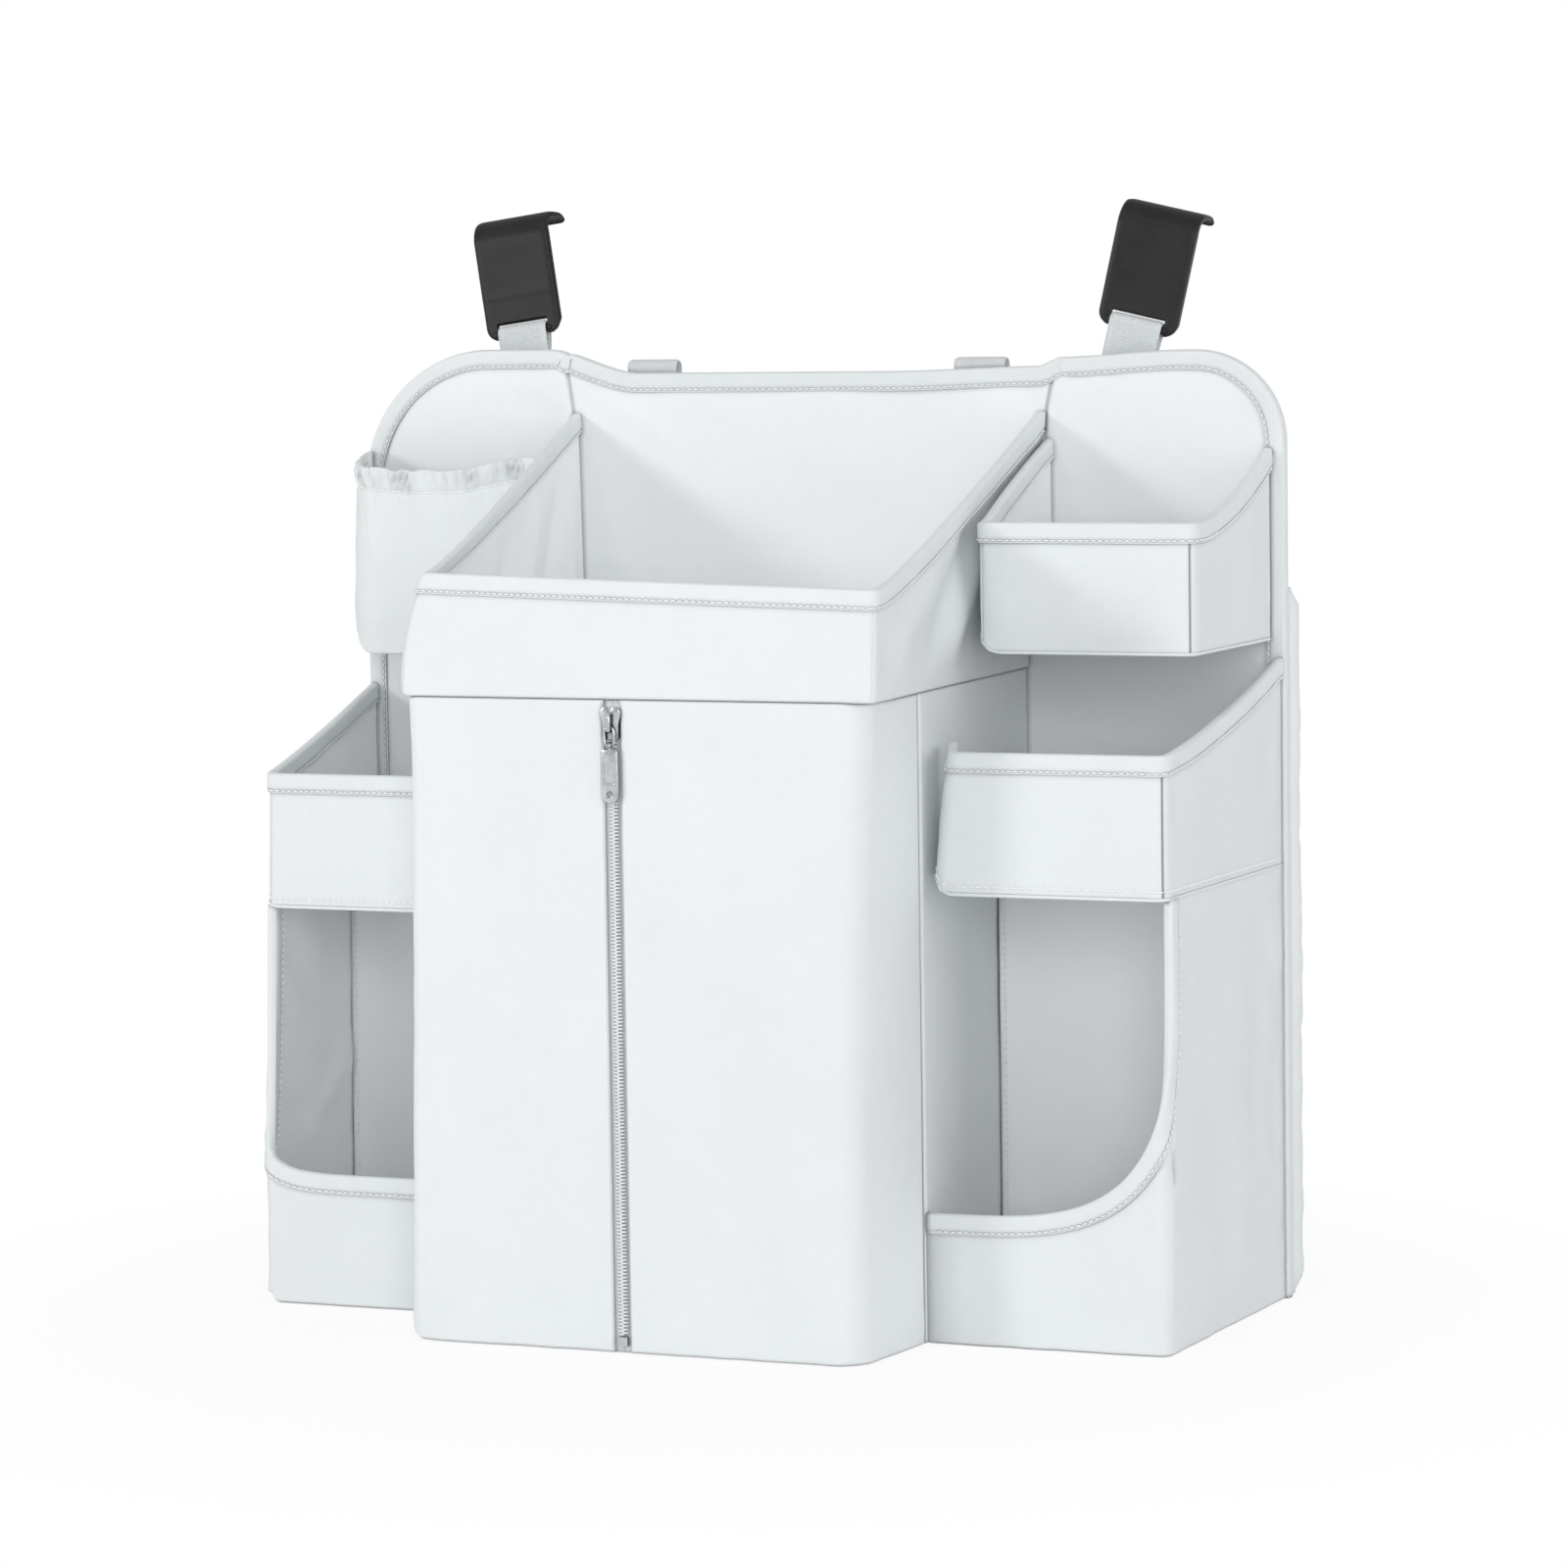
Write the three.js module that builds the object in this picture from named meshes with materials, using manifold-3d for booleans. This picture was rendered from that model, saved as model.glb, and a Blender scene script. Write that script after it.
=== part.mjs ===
// Crib rail organizer: a stiffened cloth caddy that hangs on a rail by two strapped hooks.
// Millimetres, +X to the right, +Y to the rail behind, +Z up.
// The origin is under the middle of the centre compartment's floor.

import * as THREE from 'three';
import { mergeVertices } from 'three/addons/utils/BufferGeometryUtils.js';
import Module from 'manifold-3d';

const wasm = await Module();
wasm.setup();

// Driving dimensions: cloth and clearances
const CLEARANCE = 0.3;
const PANEL = 2;
const CLOTH = 1.2;
const BINDING = 0.9;
const BINDING_WIDTH = 8;

// Driving dimensions: back panel
const BACK_WIDTH = 460;
const BACK_RISE = 30;
const BACK_CORNER_LEFT = 66;
const BACK_CORNER_RIGHT = 42;
const BACK_DIP = 11.5;
const WING_INNER = 86;
const WING_OUTER = 134;
const BACK_BOARD = 2;
const BOARD_MARGIN = 11;
const SLEEVE_HEIGHT = 325;
const SLEEVE_DEPTH = 11;
const SLEEVE_CORNER = 5;

// Driving dimensions: centre compartment and the open bin above it
const BOX_CENTRE = -3;
const BOX_HALF = 109;
const BOX_DEPTH = 205;
const BOX_HEIGHT = 288;
const BOX_CORNER_LEFT = 6;
const BOX_CORNER_RIGHT = 13;
const BOX_SLANT = 4;
const FLOOR_BOARD = 2;
const FLOOR_BOARD_MARGIN = 3;
const BIN_FRONT = { left: 55, right: 49 };
const BIN_BACK = 118.5;
const BIN_RIM_POWER = 1.1;
const BIN_CORNER = 4;
const BIN_OVERHANG = { left: 5, right: 1 };
const BIN_LEAN_LEFT = { front: -13, back: 2 };
const BIN_LEAN_RIGHT = { front: 1, back: 8.5 };

// Driving dimensions: pockets and compartments at the sides
const SIDE_DEPTH = 145;
const SIDE_TAPER = 10.5;
const SIDE_INSET = 2;
const SIDE_CORNER = 6;
const LINING_DEPTH = 45;
const MID_RETURN = 22;
const MID_GAP = 8;
const LOWER_RIGHT = { name: 'lower_right', height: 200, sill: 57, power: 3.4 };
const LOWER_LEFT = { name: 'lower_left', height: 185, sill: 60, power: 10 };
const MID_RIGHT = { name: 'mid_right', front: 62.5, back: 95, power: 1.4 };
const MID_LEFT = { name: 'mid_left', front: 61.5, back: 92, power: 1.15 };
const UPPER_RIGHT_RISE = 15;
const UPPER_RIGHT_DEPTH = 102;
const UPPER_RIGHT_FRONT = 57.5;
const UPPER_RIGHT_INNER = { back: 91, power: 0.85 };
const UPPER_RIGHT_OUTER = { back: 87.5, power: 1.55 };
const UPPER_RIGHT_GAP = { front: 11, back: 10 };
const UPPER_RIGHT_INSET = 6.5;
const UPPER_LEFT_RISE = 6;
const UPPER_LEFT_DEPTH = 45;
const UPPER_LEFT_HEIGHT = 89;
const UPPER_LEFT_CORNER = 18;
const UPPER_LEFT_GAP = 1;
const GATHERS = 13;
const GATHER_RELIEF = 1.6;
const HEM = 10;
const ELASTIC_WIDTH = 6;
const ELASTIC = 1;

// Driving dimensions: front zip
const ZIP_X = -15;
const ZIP_SLOT = 8;
const ZIP_END = 3;
const TAPE_WIDTH = 12;
const TAPE = 0.6;
const CHAIN_WIDTH = 1.7;
const CHAIN = 2.2;
const CHAIN_SPLIT = 1.2;
const STOP_HEIGHT = 4;
const SLIDER_WIDTH = 9;
const SLIDER_HEIGHT = 14;
const SLIDER_PLATE = 1;
const SLIDER_POST = 4;
const CROWN_HEIGHT = 8;
const CROWN_WIDTH = 2.2;
const CROWN_BAR = 1.1;
const LINK_WIRE = 1.4;
const LINK_WIDTH = 6;
const LINK_HEIGHT = 9;
const PULL_WIDTH = 7.4;
const PULL_LENGTH = 25;
const PULL_PLATE = 1.4;
const PULL_HOLE = 3.4;

// Driving dimensions: straps, hooks and rear loops
const WEBBING_WIDTH = 25;
const WEBBING = 1.6;
const TAB_WEBBING = 1;
const HOOK_WIDTH = 38;
const HOOK_PLATE = 2.6;
const HOOK_HEIGHT = 55;
const HOOK_DEPTH = 28;
const HOOK_BEND = 11;
const HOOK_CURL = 55;
const HOOK_FLANGE = { depth: 4.6, thickness: 1.8 };
const HOOK_BAR = 2;
const HOOK_SLOT = 7;
const HOOK_RISE = 8.5;
const STRAP_TAIL = 175;
const STRAP_RETURN = 36;
const ADJUSTER_DROP = 62;
const ADJUSTER_HEIGHT = 22;
const ADJUSTER_BAR = 1.2;
const ADJUSTER_RAIL = 3;
const ADJUSTER_CROSSBAR = 2;
const TAB_LENGTH = 38;
const TAB_RETURN = 20;
const STRAP_LEFT = { side: 'left', inset: 79, splay: 8 };
const STRAP_RIGHT = { side: 'right', inset: 74, splay: 13 };
const TIE_X = 82;
const TIE_LENGTH = 42;
const TIE_BEND = 2.4;
const TIE_PEEK = 5;

// Fineness of the curved forms
const RIM_STEP = 15;
const TOP_STEPS = 24;
const OPENING_STEPS = 20;
const OPENING_LEG_STEPS = 6;
const ARC_STEPS = 5;
const TURN_STEPS = 8;
const ROUND_SIDES = 14;
const STEPS_PER_GATHER = 4;
const GATHER_ROWS = 4;

// Places worked out from the driving dimensions
const BACK_HALF = BACK_WIDTH / 2;
const BACK_Y = BOX_DEPTH / 2;
const FRONT_Y = -BOX_DEPTH / 2;
const BACK_THICK = 2 * CLOTH + BACK_BOARD + 2 * CLEARANCE;
const BINDING_PROUD = CLEARANCE + BINDING;
const INNER_BACK_Y = BACK_Y - CLEARANCE;
const EDGE_BACK_Y = BACK_Y - BINDING_PROUD - 2 * CLEARANCE;
const REAR_Y = BACK_Y + BACK_THICK;
const BACK_HEIGHT = BOX_HEIGHT + BIN_BACK + BACK_RISE;
const BOX_LEFT = BOX_CENTRE - BOX_HALF;
const BOX_RIGHT = BOX_CENTRE + BOX_HALF;
const BIN_LEFT = BOX_LEFT - BIN_OVERHANG.left;
const BIN_RIGHT = BOX_RIGHT + BIN_OVERHANG.right;
const BIN_CENTRE = (BIN_LEFT + BIN_RIGHT) / 2;
const BIN_HALF = (BIN_RIGHT - BIN_LEFT) / 2;
const SIDE_FRONT_Y = BACK_Y - SIDE_DEPTH;
const SIDE_BACK_X = BACK_HALF - SIDE_INSET;
const SIDE_FRONT_X = SIDE_BACK_X - SIDE_TAPER;
const LINING_Y = BACK_Y - LINING_DEPTH;

const LOOKS = {
  cloth: { color: 0xe6eaec, roughness: 0.75, metalness: 0 },
  trim: { color: 0xeff2f3, roughness: 0.7, metalness: 0 },
  board: { color: 0xd6d7d4, roughness: 0.8, metalness: 0 },
  webbing: { color: 0xc9ced1, roughness: 0.85, metalness: 0 },
  tape: { color: 0xdfe4e6, roughness: 0.8, metalness: 0 },
  nylon: { color: 0xe8ecee, roughness: 0.45, metalness: 0 },
  elastic: { color: 0xf2f3f3, roughness: 0.9, metalness: 0 },
  metal: { color: 0xbfc3c8, roughness: 0.28, metalness: 1 },
  black: { color: 0x17181a, roughness: 0.38, metalness: 0 },
  grey: { color: 0xc4c8ca, roughness: 0.45, metalness: 0 },
};

const organizer = new THREE.Group();

function place(name, look, geometry, parent = organizer) {
  const mesh = new THREE.Mesh(geometry, new THREE.MeshStandardMaterial(LOOKS[look]));
  mesh.name = name;
  parent.add(mesh);
  return mesh;
}

// Closed solids
function solidFrom(points, triangles) {
  const geometry = new THREE.BufferGeometry();
  const places = points.flatMap((point) => point.toArray());
  geometry.setAttribute('position', new THREE.Float32BufferAttribute(places, 3));
  geometry.setIndex(triangles);
  return geometry;
}

// A shell between two grids of points, each a list of columns that run from low to high.
function shell(outer, inner) {
  const rows = outer[0].length;
  const last = outer.length - 1;
  const top = rows - 1;
  const triangles = [];
  const out = (i, j) => i * rows + j;
  const back = (i, j) => (outer.length + i) * rows + j;
  const quad = (a, b, c, d) => triangles.push(a, b, c, a, c, d);
  for (let i = 0; i < last; i += 1) {
    for (let j = 0; j < top; j += 1) {
      quad(out(i, j), out(i + 1, j), out(i + 1, j + 1), out(i, j + 1));
      quad(back(i, j), back(i, j + 1), back(i + 1, j + 1), back(i + 1, j));
    }
    quad(out(i, 0), back(i, 0), back(i + 1, 0), out(i + 1, 0));
    quad(out(i, top), out(i + 1, top), back(i + 1, top), back(i, top));
  }
  for (let j = 0; j < top; j += 1) {
    quad(out(0, j), out(0, j + 1), back(0, j + 1), back(0, j));
    quad(out(last, j), back(last, j), back(last, j + 1), out(last, j + 1));
  }
  return solidFrom([...outer.flat(), ...inner.flat()], triangles);
}

// A solid lofted through equal rings of points, whose flat section is the counterclockwise contour.
function loft(rings, contour) {
  const count = contour.length;
  const triangles = [];
  for (let i = 0; i < rings.length - 1; i += 1) {
    for (let k = 0; k < count; k += 1) {
      const a = i * count + k;
      const b = i * count + ((k + 1) % count);
      triangles.push(a, b, b + count, a, b + count, a + count);
    }
  }
  const end = (rings.length - 1) * count;
  for (const [a, b, c] of THREE.ShapeUtils.triangulateShape(contour, [])) {
    triangles.push(a, c, b, end + a, end + b, end + c);
  }
  return solidFrom(rings.flat(), triangles);
}

function toManifold(geometry) {
  const bare = geometry.clone();
  bare.deleteAttribute('normal');
  bare.deleteAttribute('uv');
  const merged = mergeVertices(bare.index ? bare.toNonIndexed() : bare);
  const vertProperties = new Float32Array(merged.attributes.position.array);
  const triVerts = new Uint32Array(merged.index.array);
  return new wasm.Manifold(new wasm.Mesh({ numProp: 3, vertProperties, triVerts }));
}

function fromManifold(manifold) {
  const mesh = manifold.getMesh();
  const geometry = new THREE.BufferGeometry();
  geometry.setAttribute('position', new THREE.BufferAttribute(mesh.vertProperties, 3));
  geometry.setIndex(new THREE.BufferAttribute(mesh.triVerts, 1));
  return geometry;
}

function join(geometries) {
  return fromManifold(geometries.map(toManifold).reduce((whole, piece) => whole.add(piece)));
}

function cut(geometry, tool) {
  return fromManifold(toManifold(geometry).subtract(toManifold(tool)));
}

// A box between two corners.
function block(low, high) {
  const size = high.map((value, axis) => value - low[axis]);
  const middle = high.map((value, axis) => (value + low[axis]) / 2);
  return new THREE.BoxGeometry(...size).translate(...middle);
}

// A flat shape drawn in X and Y, of even depth from z upwards.
function floorPlate(shape, z, depth) {
  const options = { depth, bevelEnabled: false, curveSegments: ARC_STEPS };
  return new THREE.ExtrudeGeometry(shape, options).translate(0, 0, z);
}

// A flat shape drawn in X and Z, from its front face at y to the back.
function frontPlate(shape, y, depth) {
  const options = { depth, bevelEnabled: false, curveSegments: TURN_STEPS };
  return new THREE.ExtrudeGeometry(shape, options).rotateX(Math.PI / 2).translate(0, y + depth, 0);
}

// A side profile drawn in Y and Z, as wide as given and centred on X = 0.
function sidePlate(shape, width) {
  const geometry = new THREE.ExtrudeGeometry(shape, { depth: width, bevelEnabled: false });
  const turned = new THREE.Matrix4().makeBasis(
    new THREE.Vector3(0, 1, 0),
    new THREE.Vector3(0, 0, 1),
    new THREE.Vector3(1, 0, 0),
  );
  return geometry.applyMatrix4(turned).translate(-width / 2, 0, 0);
}

// A round bar along X.
function crossBar(radius, length, y, z) {
  const bar = new THREE.CylinderGeometry(radius, radius, length, ROUND_SIDES);
  return bar.rotateZ(Math.PI / 2).translate(0, y, z);
}

// Walls that follow a path in plan. The outer face is to the right of the path's direction,
// and every corner turns left with the same radius.
function planPath(corners, radius) {
  const pieces = [];
  let length = 0;
  const add = (size, curved, at) => {
    pieces.push({ from: length, size, curved, at });
    length += size;
  };
  const straight = (a, b) => {
    const along = b.clone().sub(a);
    const size = along.length();
    const out = new THREE.Vector2(along.y, -along.x).divideScalar(size);
    add(size, false, (s) => ({ point: a.clone().addScaledVector(along, s / size), out: out.clone() }));
  };
  let start = new THREE.Vector2(...corners[0]);
  for (let i = 1; i < corners.length - 1; i += 1) {
    const corner = new THREE.Vector2(...corners[i]);
    const into = corner.clone().sub(new THREE.Vector2(...corners[i - 1])).normalize();
    const away = new THREE.Vector2(...corners[i + 1]).sub(corner).normalize();
    const turn = Math.acos(into.dot(away));
    const setback = radius * Math.tan(turn / 2);
    const arcStart = corner.clone().addScaledVector(into, -setback);
    const centre = arcStart.clone().add(new THREE.Vector2(-into.y, into.x).multiplyScalar(radius));
    const first = Math.atan2(arcStart.y - centre.y, arcStart.x - centre.x);
    straight(start, arcStart);
    add(radius * turn, true, (s) => {
      const angle = first + s / radius;
      const out = new THREE.Vector2(Math.cos(angle), Math.sin(angle));
      return { point: centre.clone().addScaledVector(out, radius), out };
    });
    start = corner.clone().addScaledVector(away, setback);
  }
  straight(start, new THREE.Vector2(...corners.at(-1)));
  const pieceAt = (s) => pieces.findLast((piece) => s >= piece.from) ?? pieces[0];
  const spot = (s) => {
    const piece = pieceAt(s);
    return piece.at(s - piece.from);
  };
  return {
    length,
    pieces,
    breaks: pieces.map((piece) => piece.from),
    spot,
    at(s, z, offset) {
      const { point, out } = spot(s);
      point.addScaledVector(out, offset);
      return new THREE.Vector3(point.x, point.y, z);
    },
  };
}

// Stations along a path from one distance to another, with its breaks and arcs kept.
function stations(path, from, to, step) {
  const list = [from];
  for (const piece of path.pieces) {
    const start = Math.max(piece.from, from);
    const stretch = Math.min(piece.from + piece.size, to) - start;
    const count = piece.curved ? ARC_STEPS : Math.max(1, Math.round(stretch / step));
    for (let k = 1; stretch > CLEARANCE && k <= count; k += 1) {
      list.push(start + (stretch * k) / count);
    }
  }
  return list;
}

// Columns of a wall: where each stands along the path, and its low and high ends.
function columns(path, from, to, low, high, step = Infinity) {
  return stations(path, from, to, step).map((s) => {
    const { point } = path.spot(s);
    return { s, low: low(point, s), high: high(point, s) };
  });
}

function wall(path, list, thickness, { offset = 0, rows = 1, relief = () => 0 } = {}) {
  const grid = (shift) =>
    list.map(({ s, low, high }) =>
      Array.from({ length: rows + 1 }, (_, j) => {
        const z = low + ((high - low) * j) / rows;
        return path.at(s, z, offset - shift + relief(s, z));
      }),
    );
  return shell(grid(0), grid(thickness));
}

// The direction to the right of a line of points at one of them, mitred between its two stretches.
// At the line's ends it is level or upright, so that the tape ends square.
function acrossEdge(edge, i) {
  const right = (a, b) => new THREE.Vector2(b.y - a.y, a.x - b.x).normalize();
  const before = right(edge[Math.max(i, 1) - 1], edge[Math.max(i, 1)]);
  const next = Math.min(i, edge.length - 2);
  const after = right(edge[next], edge[next + 1]);
  if (i > 0 && i < edge.length - 1) {
    const middle = before.clone().add(after).normalize();
    return middle.divideScalar(middle.dot(before));
  }
  const { x, y } = before;
  return Math.abs(x) > Math.abs(y) ? new THREE.Vector2(1 / x, 0) : new THREE.Vector2(0, 1 / y);
}

// Folded tape over a cloth edge. The edge is a list of points on the developed wall,
// with the cloth to the right of its direction, and map puts a developed point in space.
// A tape that crosses a rounded corner has more steps across its two legs.
function foldedTape(map, edge, thickness, legSteps = 1) {
  const outer = CLEARANCE + BINDING;
  const leg = (out, from, to) =>
    Array.from({ length: legSteps + 1 }, (_, k) => [out, THREE.MathUtils.lerp(from, to, k / legSteps)]);
  const section = [
    ...leg(CLEARANCE, BINDING_WIDTH, -CLEARANCE),
    ...leg(-thickness - CLEARANCE, -CLEARANCE, BINDING_WIDTH),
    ...leg(-thickness - outer, BINDING_WIDTH, -outer),
    ...leg(outer, -outer, BINDING_WIDTH),
  ].map(([x, y]) => new THREE.Vector2(x, y));
  const rings = edge.map((point, i) => {
    const into = acrossEdge(edge, i);
    return section.map(({ x, y }) => map(point.x + y * into.x, point.y + y * into.y, x));
  });
  return loft(rings, section);
}

// The middle of one of a path's corners, counted from 1.
function cornerOf(path, count) {
  return (path.breaks[2 * count - 1] + path.breaks[2 * count]) / 2;
}

function edgeOf(list) {
  return list.map(({ s, high }) => new THREE.Vector2(s, high));
}

// A floor inside a wall's path: its outline is the path's inner face, cut off at the back.
function floorInside(path, low, thickness, backY, closing = []) {
  const inset = -PANEL - CLEARANCE;
  const outline = stations(path, 0, path.length, Infinity).map((s) => path.at(s, low, inset));
  const points = outline.map(({ x, y }) => new THREE.Vector2(x, Math.min(y, backY)));
  return floorPlate(new THREE.Shape([...points, ...closing]), low, thickness);
}

// Back panel: two cloth covers on a board, bound at the sides and the top.
// Its upper edge dips between two wings.
function backTop(x) {
  const wing = THREE.MathUtils.smoothstep(Math.abs(x), WING_INNER, WING_OUTER);
  return BACK_HEIGHT - BACK_DIP * (1 - wing);
}

function backOutline(inset) {
  const half = BACK_HALF - inset;
  const top = BACK_HEIGHT - inset;
  const left = BACK_CORNER_LEFT - inset;
  const right = BACK_CORNER_RIGHT - inset;
  const shape = new THREE.Shape();
  shape.moveTo(-half, 0);
  shape.lineTo(half, 0);
  shape.lineTo(half, top - right);
  shape.absarc(half - right, top - right, right, 0, Math.PI / 2);
  for (let k = 1; k <= TOP_STEPS; k += 1) {
    const x = THREE.MathUtils.lerp(half - right, left - half, k / TOP_STEPS);
    shape.lineTo(x, backTop(x) - inset);
  }
  shape.absarc(left - half, top - left, left, Math.PI / 2, Math.PI);
  shape.closePath();
  return shape;
}

function backPanel() {
  const boardY = BACK_Y + CLOTH + CLEARANCE;
  const rearY = boardY + BACK_BOARD + CLEARANCE;
  const cover = backOutline(BINDING_PROUD);
  place('back_cover_front', 'cloth', frontPlate(cover, BACK_Y, CLOTH));
  place('back_board', 'board', frontPlate(backOutline(BOARD_MARGIN), boardY, BACK_BOARD));
  place('back_cover_rear', 'cloth', frontPlate(cover, rearY, CLOTH));

  const edge = cover.getPoints(TURN_STEPS).slice(1).reverse();
  const map = (x, z, out) => new THREE.Vector3(x, BACK_Y - out, z);
  place('back_binding', 'trim', foldedTape(map, edge, BACK_THICK));
}

function rearSleeve() {
  const half = BACK_HALF - BINDING_PROUD;
  const start = REAR_Y + BINDING_PROUD + CLEARANCE;
  const rear = start + SLEEVE_DEPTH;
  const corners = [[half, start], [half, rear], [-half, rear], [-half, start]];
  const path = planPath(corners, SLEEVE_CORNER);
  const list = columns(path, 0, path.length, () => 0, () => SLEEVE_HEIGHT);
  const middle = CLOTH / 2;
  const bottom = block([middle - half, start, 0], [half - middle, rear - middle, CLOTH]);
  place('rear_sleeve', 'cloth', join([wall(path, list, CLOTH), bottom]));
}

// Open bin on top of the centre compartment. Its sides lean, by different amounts at front and back.
function bin() {
  const { lerp, clamp } = THREE.MathUtils;
  const base = BOX_HEIGHT + CLEARANCE;
  const along = (y) => clamp((y - FRONT_Y) / BOX_DEPTH, 0, 1);
  const height = (x, y) => {
    const share = clamp((x - BIN_LEFT) / (BIN_RIGHT - BIN_LEFT), 0, 1);
    return lerp(lerp(BIN_FRONT.left, BIN_FRONT.right, share), BIN_BACK, along(y) ** BIN_RIM_POWER);
  };
  const rimAt = ({ x, y }) => BOX_HEIGHT + height(x, y) - BINDING_PROUD;
  const lean = (geometry) => {
    const position = geometry.attributes.position;
    for (let i = 0; i < position.count; i += 1) {
      const [x, y] = [position.getX(i), position.getY(i)];
      const across = (x - BIN_CENTRE) / BIN_HALF;
      const { front, back } = across < 0 ? BIN_LEAN_LEFT : BIN_LEAN_RIGHT;
      const rise = (position.getZ(i) - BOX_HEIGHT) / height(x, y);
      position.setX(i, x + lerp(front, back, along(y)) * rise * across);
    }
    return geometry;
  };
  const corners = [
    [BIN_LEFT, INNER_BACK_Y],
    [BIN_LEFT, FRONT_Y],
    [BIN_RIGHT, FRONT_Y],
    [BIN_RIGHT, INNER_BACK_Y],
  ];
  const path = planPath(corners, BIN_CORNER);
  const frontStart = cornerOf(path, 1);
  const rightStart = cornerOf(path, 2);
  const half = CLEARANCE / 2;
  const rim = (from, to) => columns(path, from, to, () => base, rimAt, RIM_STEP);
  const left = rim(0, frontStart - half);
  const front = rim(frontStart + half, rightStart - half);
  const right = rim(rightStart + half, path.length);
  place('bin_side_left', 'cloth', lean(wall(path, left, PANEL)));
  place('bin_front', 'cloth', lean(wall(path, front, PANEL)));
  place('bin_side_right', 'cloth', lean(wall(path, right, PANEL)));
  place('bin_floor', 'cloth', lean(floorInside(path, base, PANEL, INNER_BACK_Y)));

  const tape = foldedTape((s, z, out) => path.at(s, z, out), edgeOf(rim(0, path.length)), PANEL);
  place('bin_rim_binding', 'trim', lean(tape));
}

// Zipped centre compartment
function box() {
  const zipLeft = ZIP_X - ZIP_SLOT / 2;
  const zipRight = ZIP_X + ZIP_SLOT / 2;
  const returnY = SIDE_FRONT_Y - CLEARANCE;
  const top = BOX_HEIGHT;
  // The right side slants in towards the front, and its end stays clear of the wall behind it
  const slantEnd = returnY - PANEL * BOX_SLANT / (returnY - FRONT_Y);
  const right = [[zipRight, FRONT_Y], [BOX_RIGHT - BOX_SLANT, FRONT_Y], [BOX_RIGHT, slantEnd]];
  const left = [[BOX_LEFT, returnY], [BOX_LEFT, FRONT_Y], [zipLeft, FRONT_Y]];
  const fronts = [['left', left, BOX_CORNER_LEFT], ['right', right, BOX_CORNER_RIGHT]];
  for (const [side, corners, radius] of fronts) {
    const path = planPath(corners, radius);
    const list = columns(path, 0, path.length, () => 0, () => top);
    place(`box_front_${side}`, 'cloth', wall(path, list, PANEL));
  }
  const leftWall = [BOX_LEFT, BOX_LEFT + PANEL];
  const rightWall = [BOX_RIGHT - PANEL, BOX_RIGHT];
  for (const [side, [low, high]] of [['left', leftWall], ['right', rightWall]]) {
    place(`box_wall_${side}`, 'cloth', block([low, SIDE_FRONT_Y, 0], [high, INNER_BACK_Y, top]));
  }

  const half = BOX_HALF - PANEL - CLEARANCE;
  const front = FRONT_Y + PANEL + CLEARANCE + TAPE + CLEARANCE;
  const roundLeft = BOX_CORNER_LEFT - PANEL - CLEARANCE;
  const roundRight = BOX_CORNER_RIGHT - PANEL - CLEARANCE;
  const plan = (margin) => {
    const shape = new THREE.Shape();
    const x = half - margin;
    const y = front + margin;
    const back = INNER_BACK_Y - margin;
    shape.moveTo(-x, back);
    shape.lineTo(-x, y + roundLeft);
    shape.absarc(roundLeft - x, y + roundLeft, roundLeft, Math.PI, 1.5 * Math.PI);
    const cornerX = x - BOX_SLANT - roundRight;
    shape.absarc(cornerX, y + roundRight, roundRight, 1.5 * Math.PI, 2 * Math.PI);
    shape.lineTo(x, SIDE_FRONT_Y);
    shape.lineTo(x, back);
    return shape;
  };
  const floor = floorPlate(plan(0), 0, PANEL);
  const board = floorPlate(plan(FLOOR_BOARD_MARGIN), PANEL + CLEARANCE, FLOOR_BOARD);
  place('box_floor', 'cloth', floor.translate(BOX_CENTRE, 0, 0));
  place('box_floor_board', 'board', board.translate(BOX_CENTRE, 0, 0));
}

// Zip: tapes behind the front panels, two chains, a stop, the slider and its pull
const TAPE_Y = FRONT_Y + PANEL + CLEARANCE;
const CHAIN_Y = TAPE_Y - CLEARANCE - CHAIN;
const ZIP_TOP = BOX_HEIGHT - ZIP_END;
const SLIDER_FRONT_Y = CHAIN_Y - CLEARANCE - SLIDER_PLATE;
const LINK_Y = SLIDER_FRONT_Y - CLEARANCE - LINK_WIRE / 2;
const CROWN_LOW = ZIP_TOP - (SLIDER_HEIGHT + CROWN_HEIGHT) / 2;
const LINK_Z = CROWN_LOW + CROWN_BAR + CLEARANCE + LINK_WIRE / 2;
const PULL_Z = LINK_Z - LINK_HEIGHT + LINK_WIRE;

function zip() {
  for (const [side, sign] of [['left', -1], ['right', 1]]) {
    const span = (near, far) => [near, far].map((x) => ZIP_X + sign * x).sort((a, b) => a - b);
    const split = CHAIN_SPLIT / 2;
    const tape = span(split, split + TAPE_WIDTH);
    const chain = span(split, split + CHAIN_WIDTH);
    const tapeBack = TAPE_Y + TAPE;
    place(`zip_tape_${side}`, 'tape', block([tape[0], TAPE_Y, 0], [tape[1], tapeBack, ZIP_TOP]));
    const chainLow = ZIP_END + STOP_HEIGHT + CLEARANCE;
    const chainBack = CHAIN_Y + CHAIN;
    const chainBar = block([chain[0], CHAIN_Y, chainLow], [chain[1], chainBack, ZIP_TOP]);
    place(`zip_chain_${side}`, 'nylon', chainBar);
  }
  const reach = CHAIN_SPLIT / 2 + CHAIN_WIDTH;
  const stopLow = [ZIP_X - reach, CHAIN_Y, ZIP_END];
  const stopHigh = [ZIP_X + reach, CHAIN_Y + CHAIN, ZIP_END + STOP_HEIGHT];
  place('zip_bottom_stop', 'metal', block(stopLow, stopHigh));
}

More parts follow.
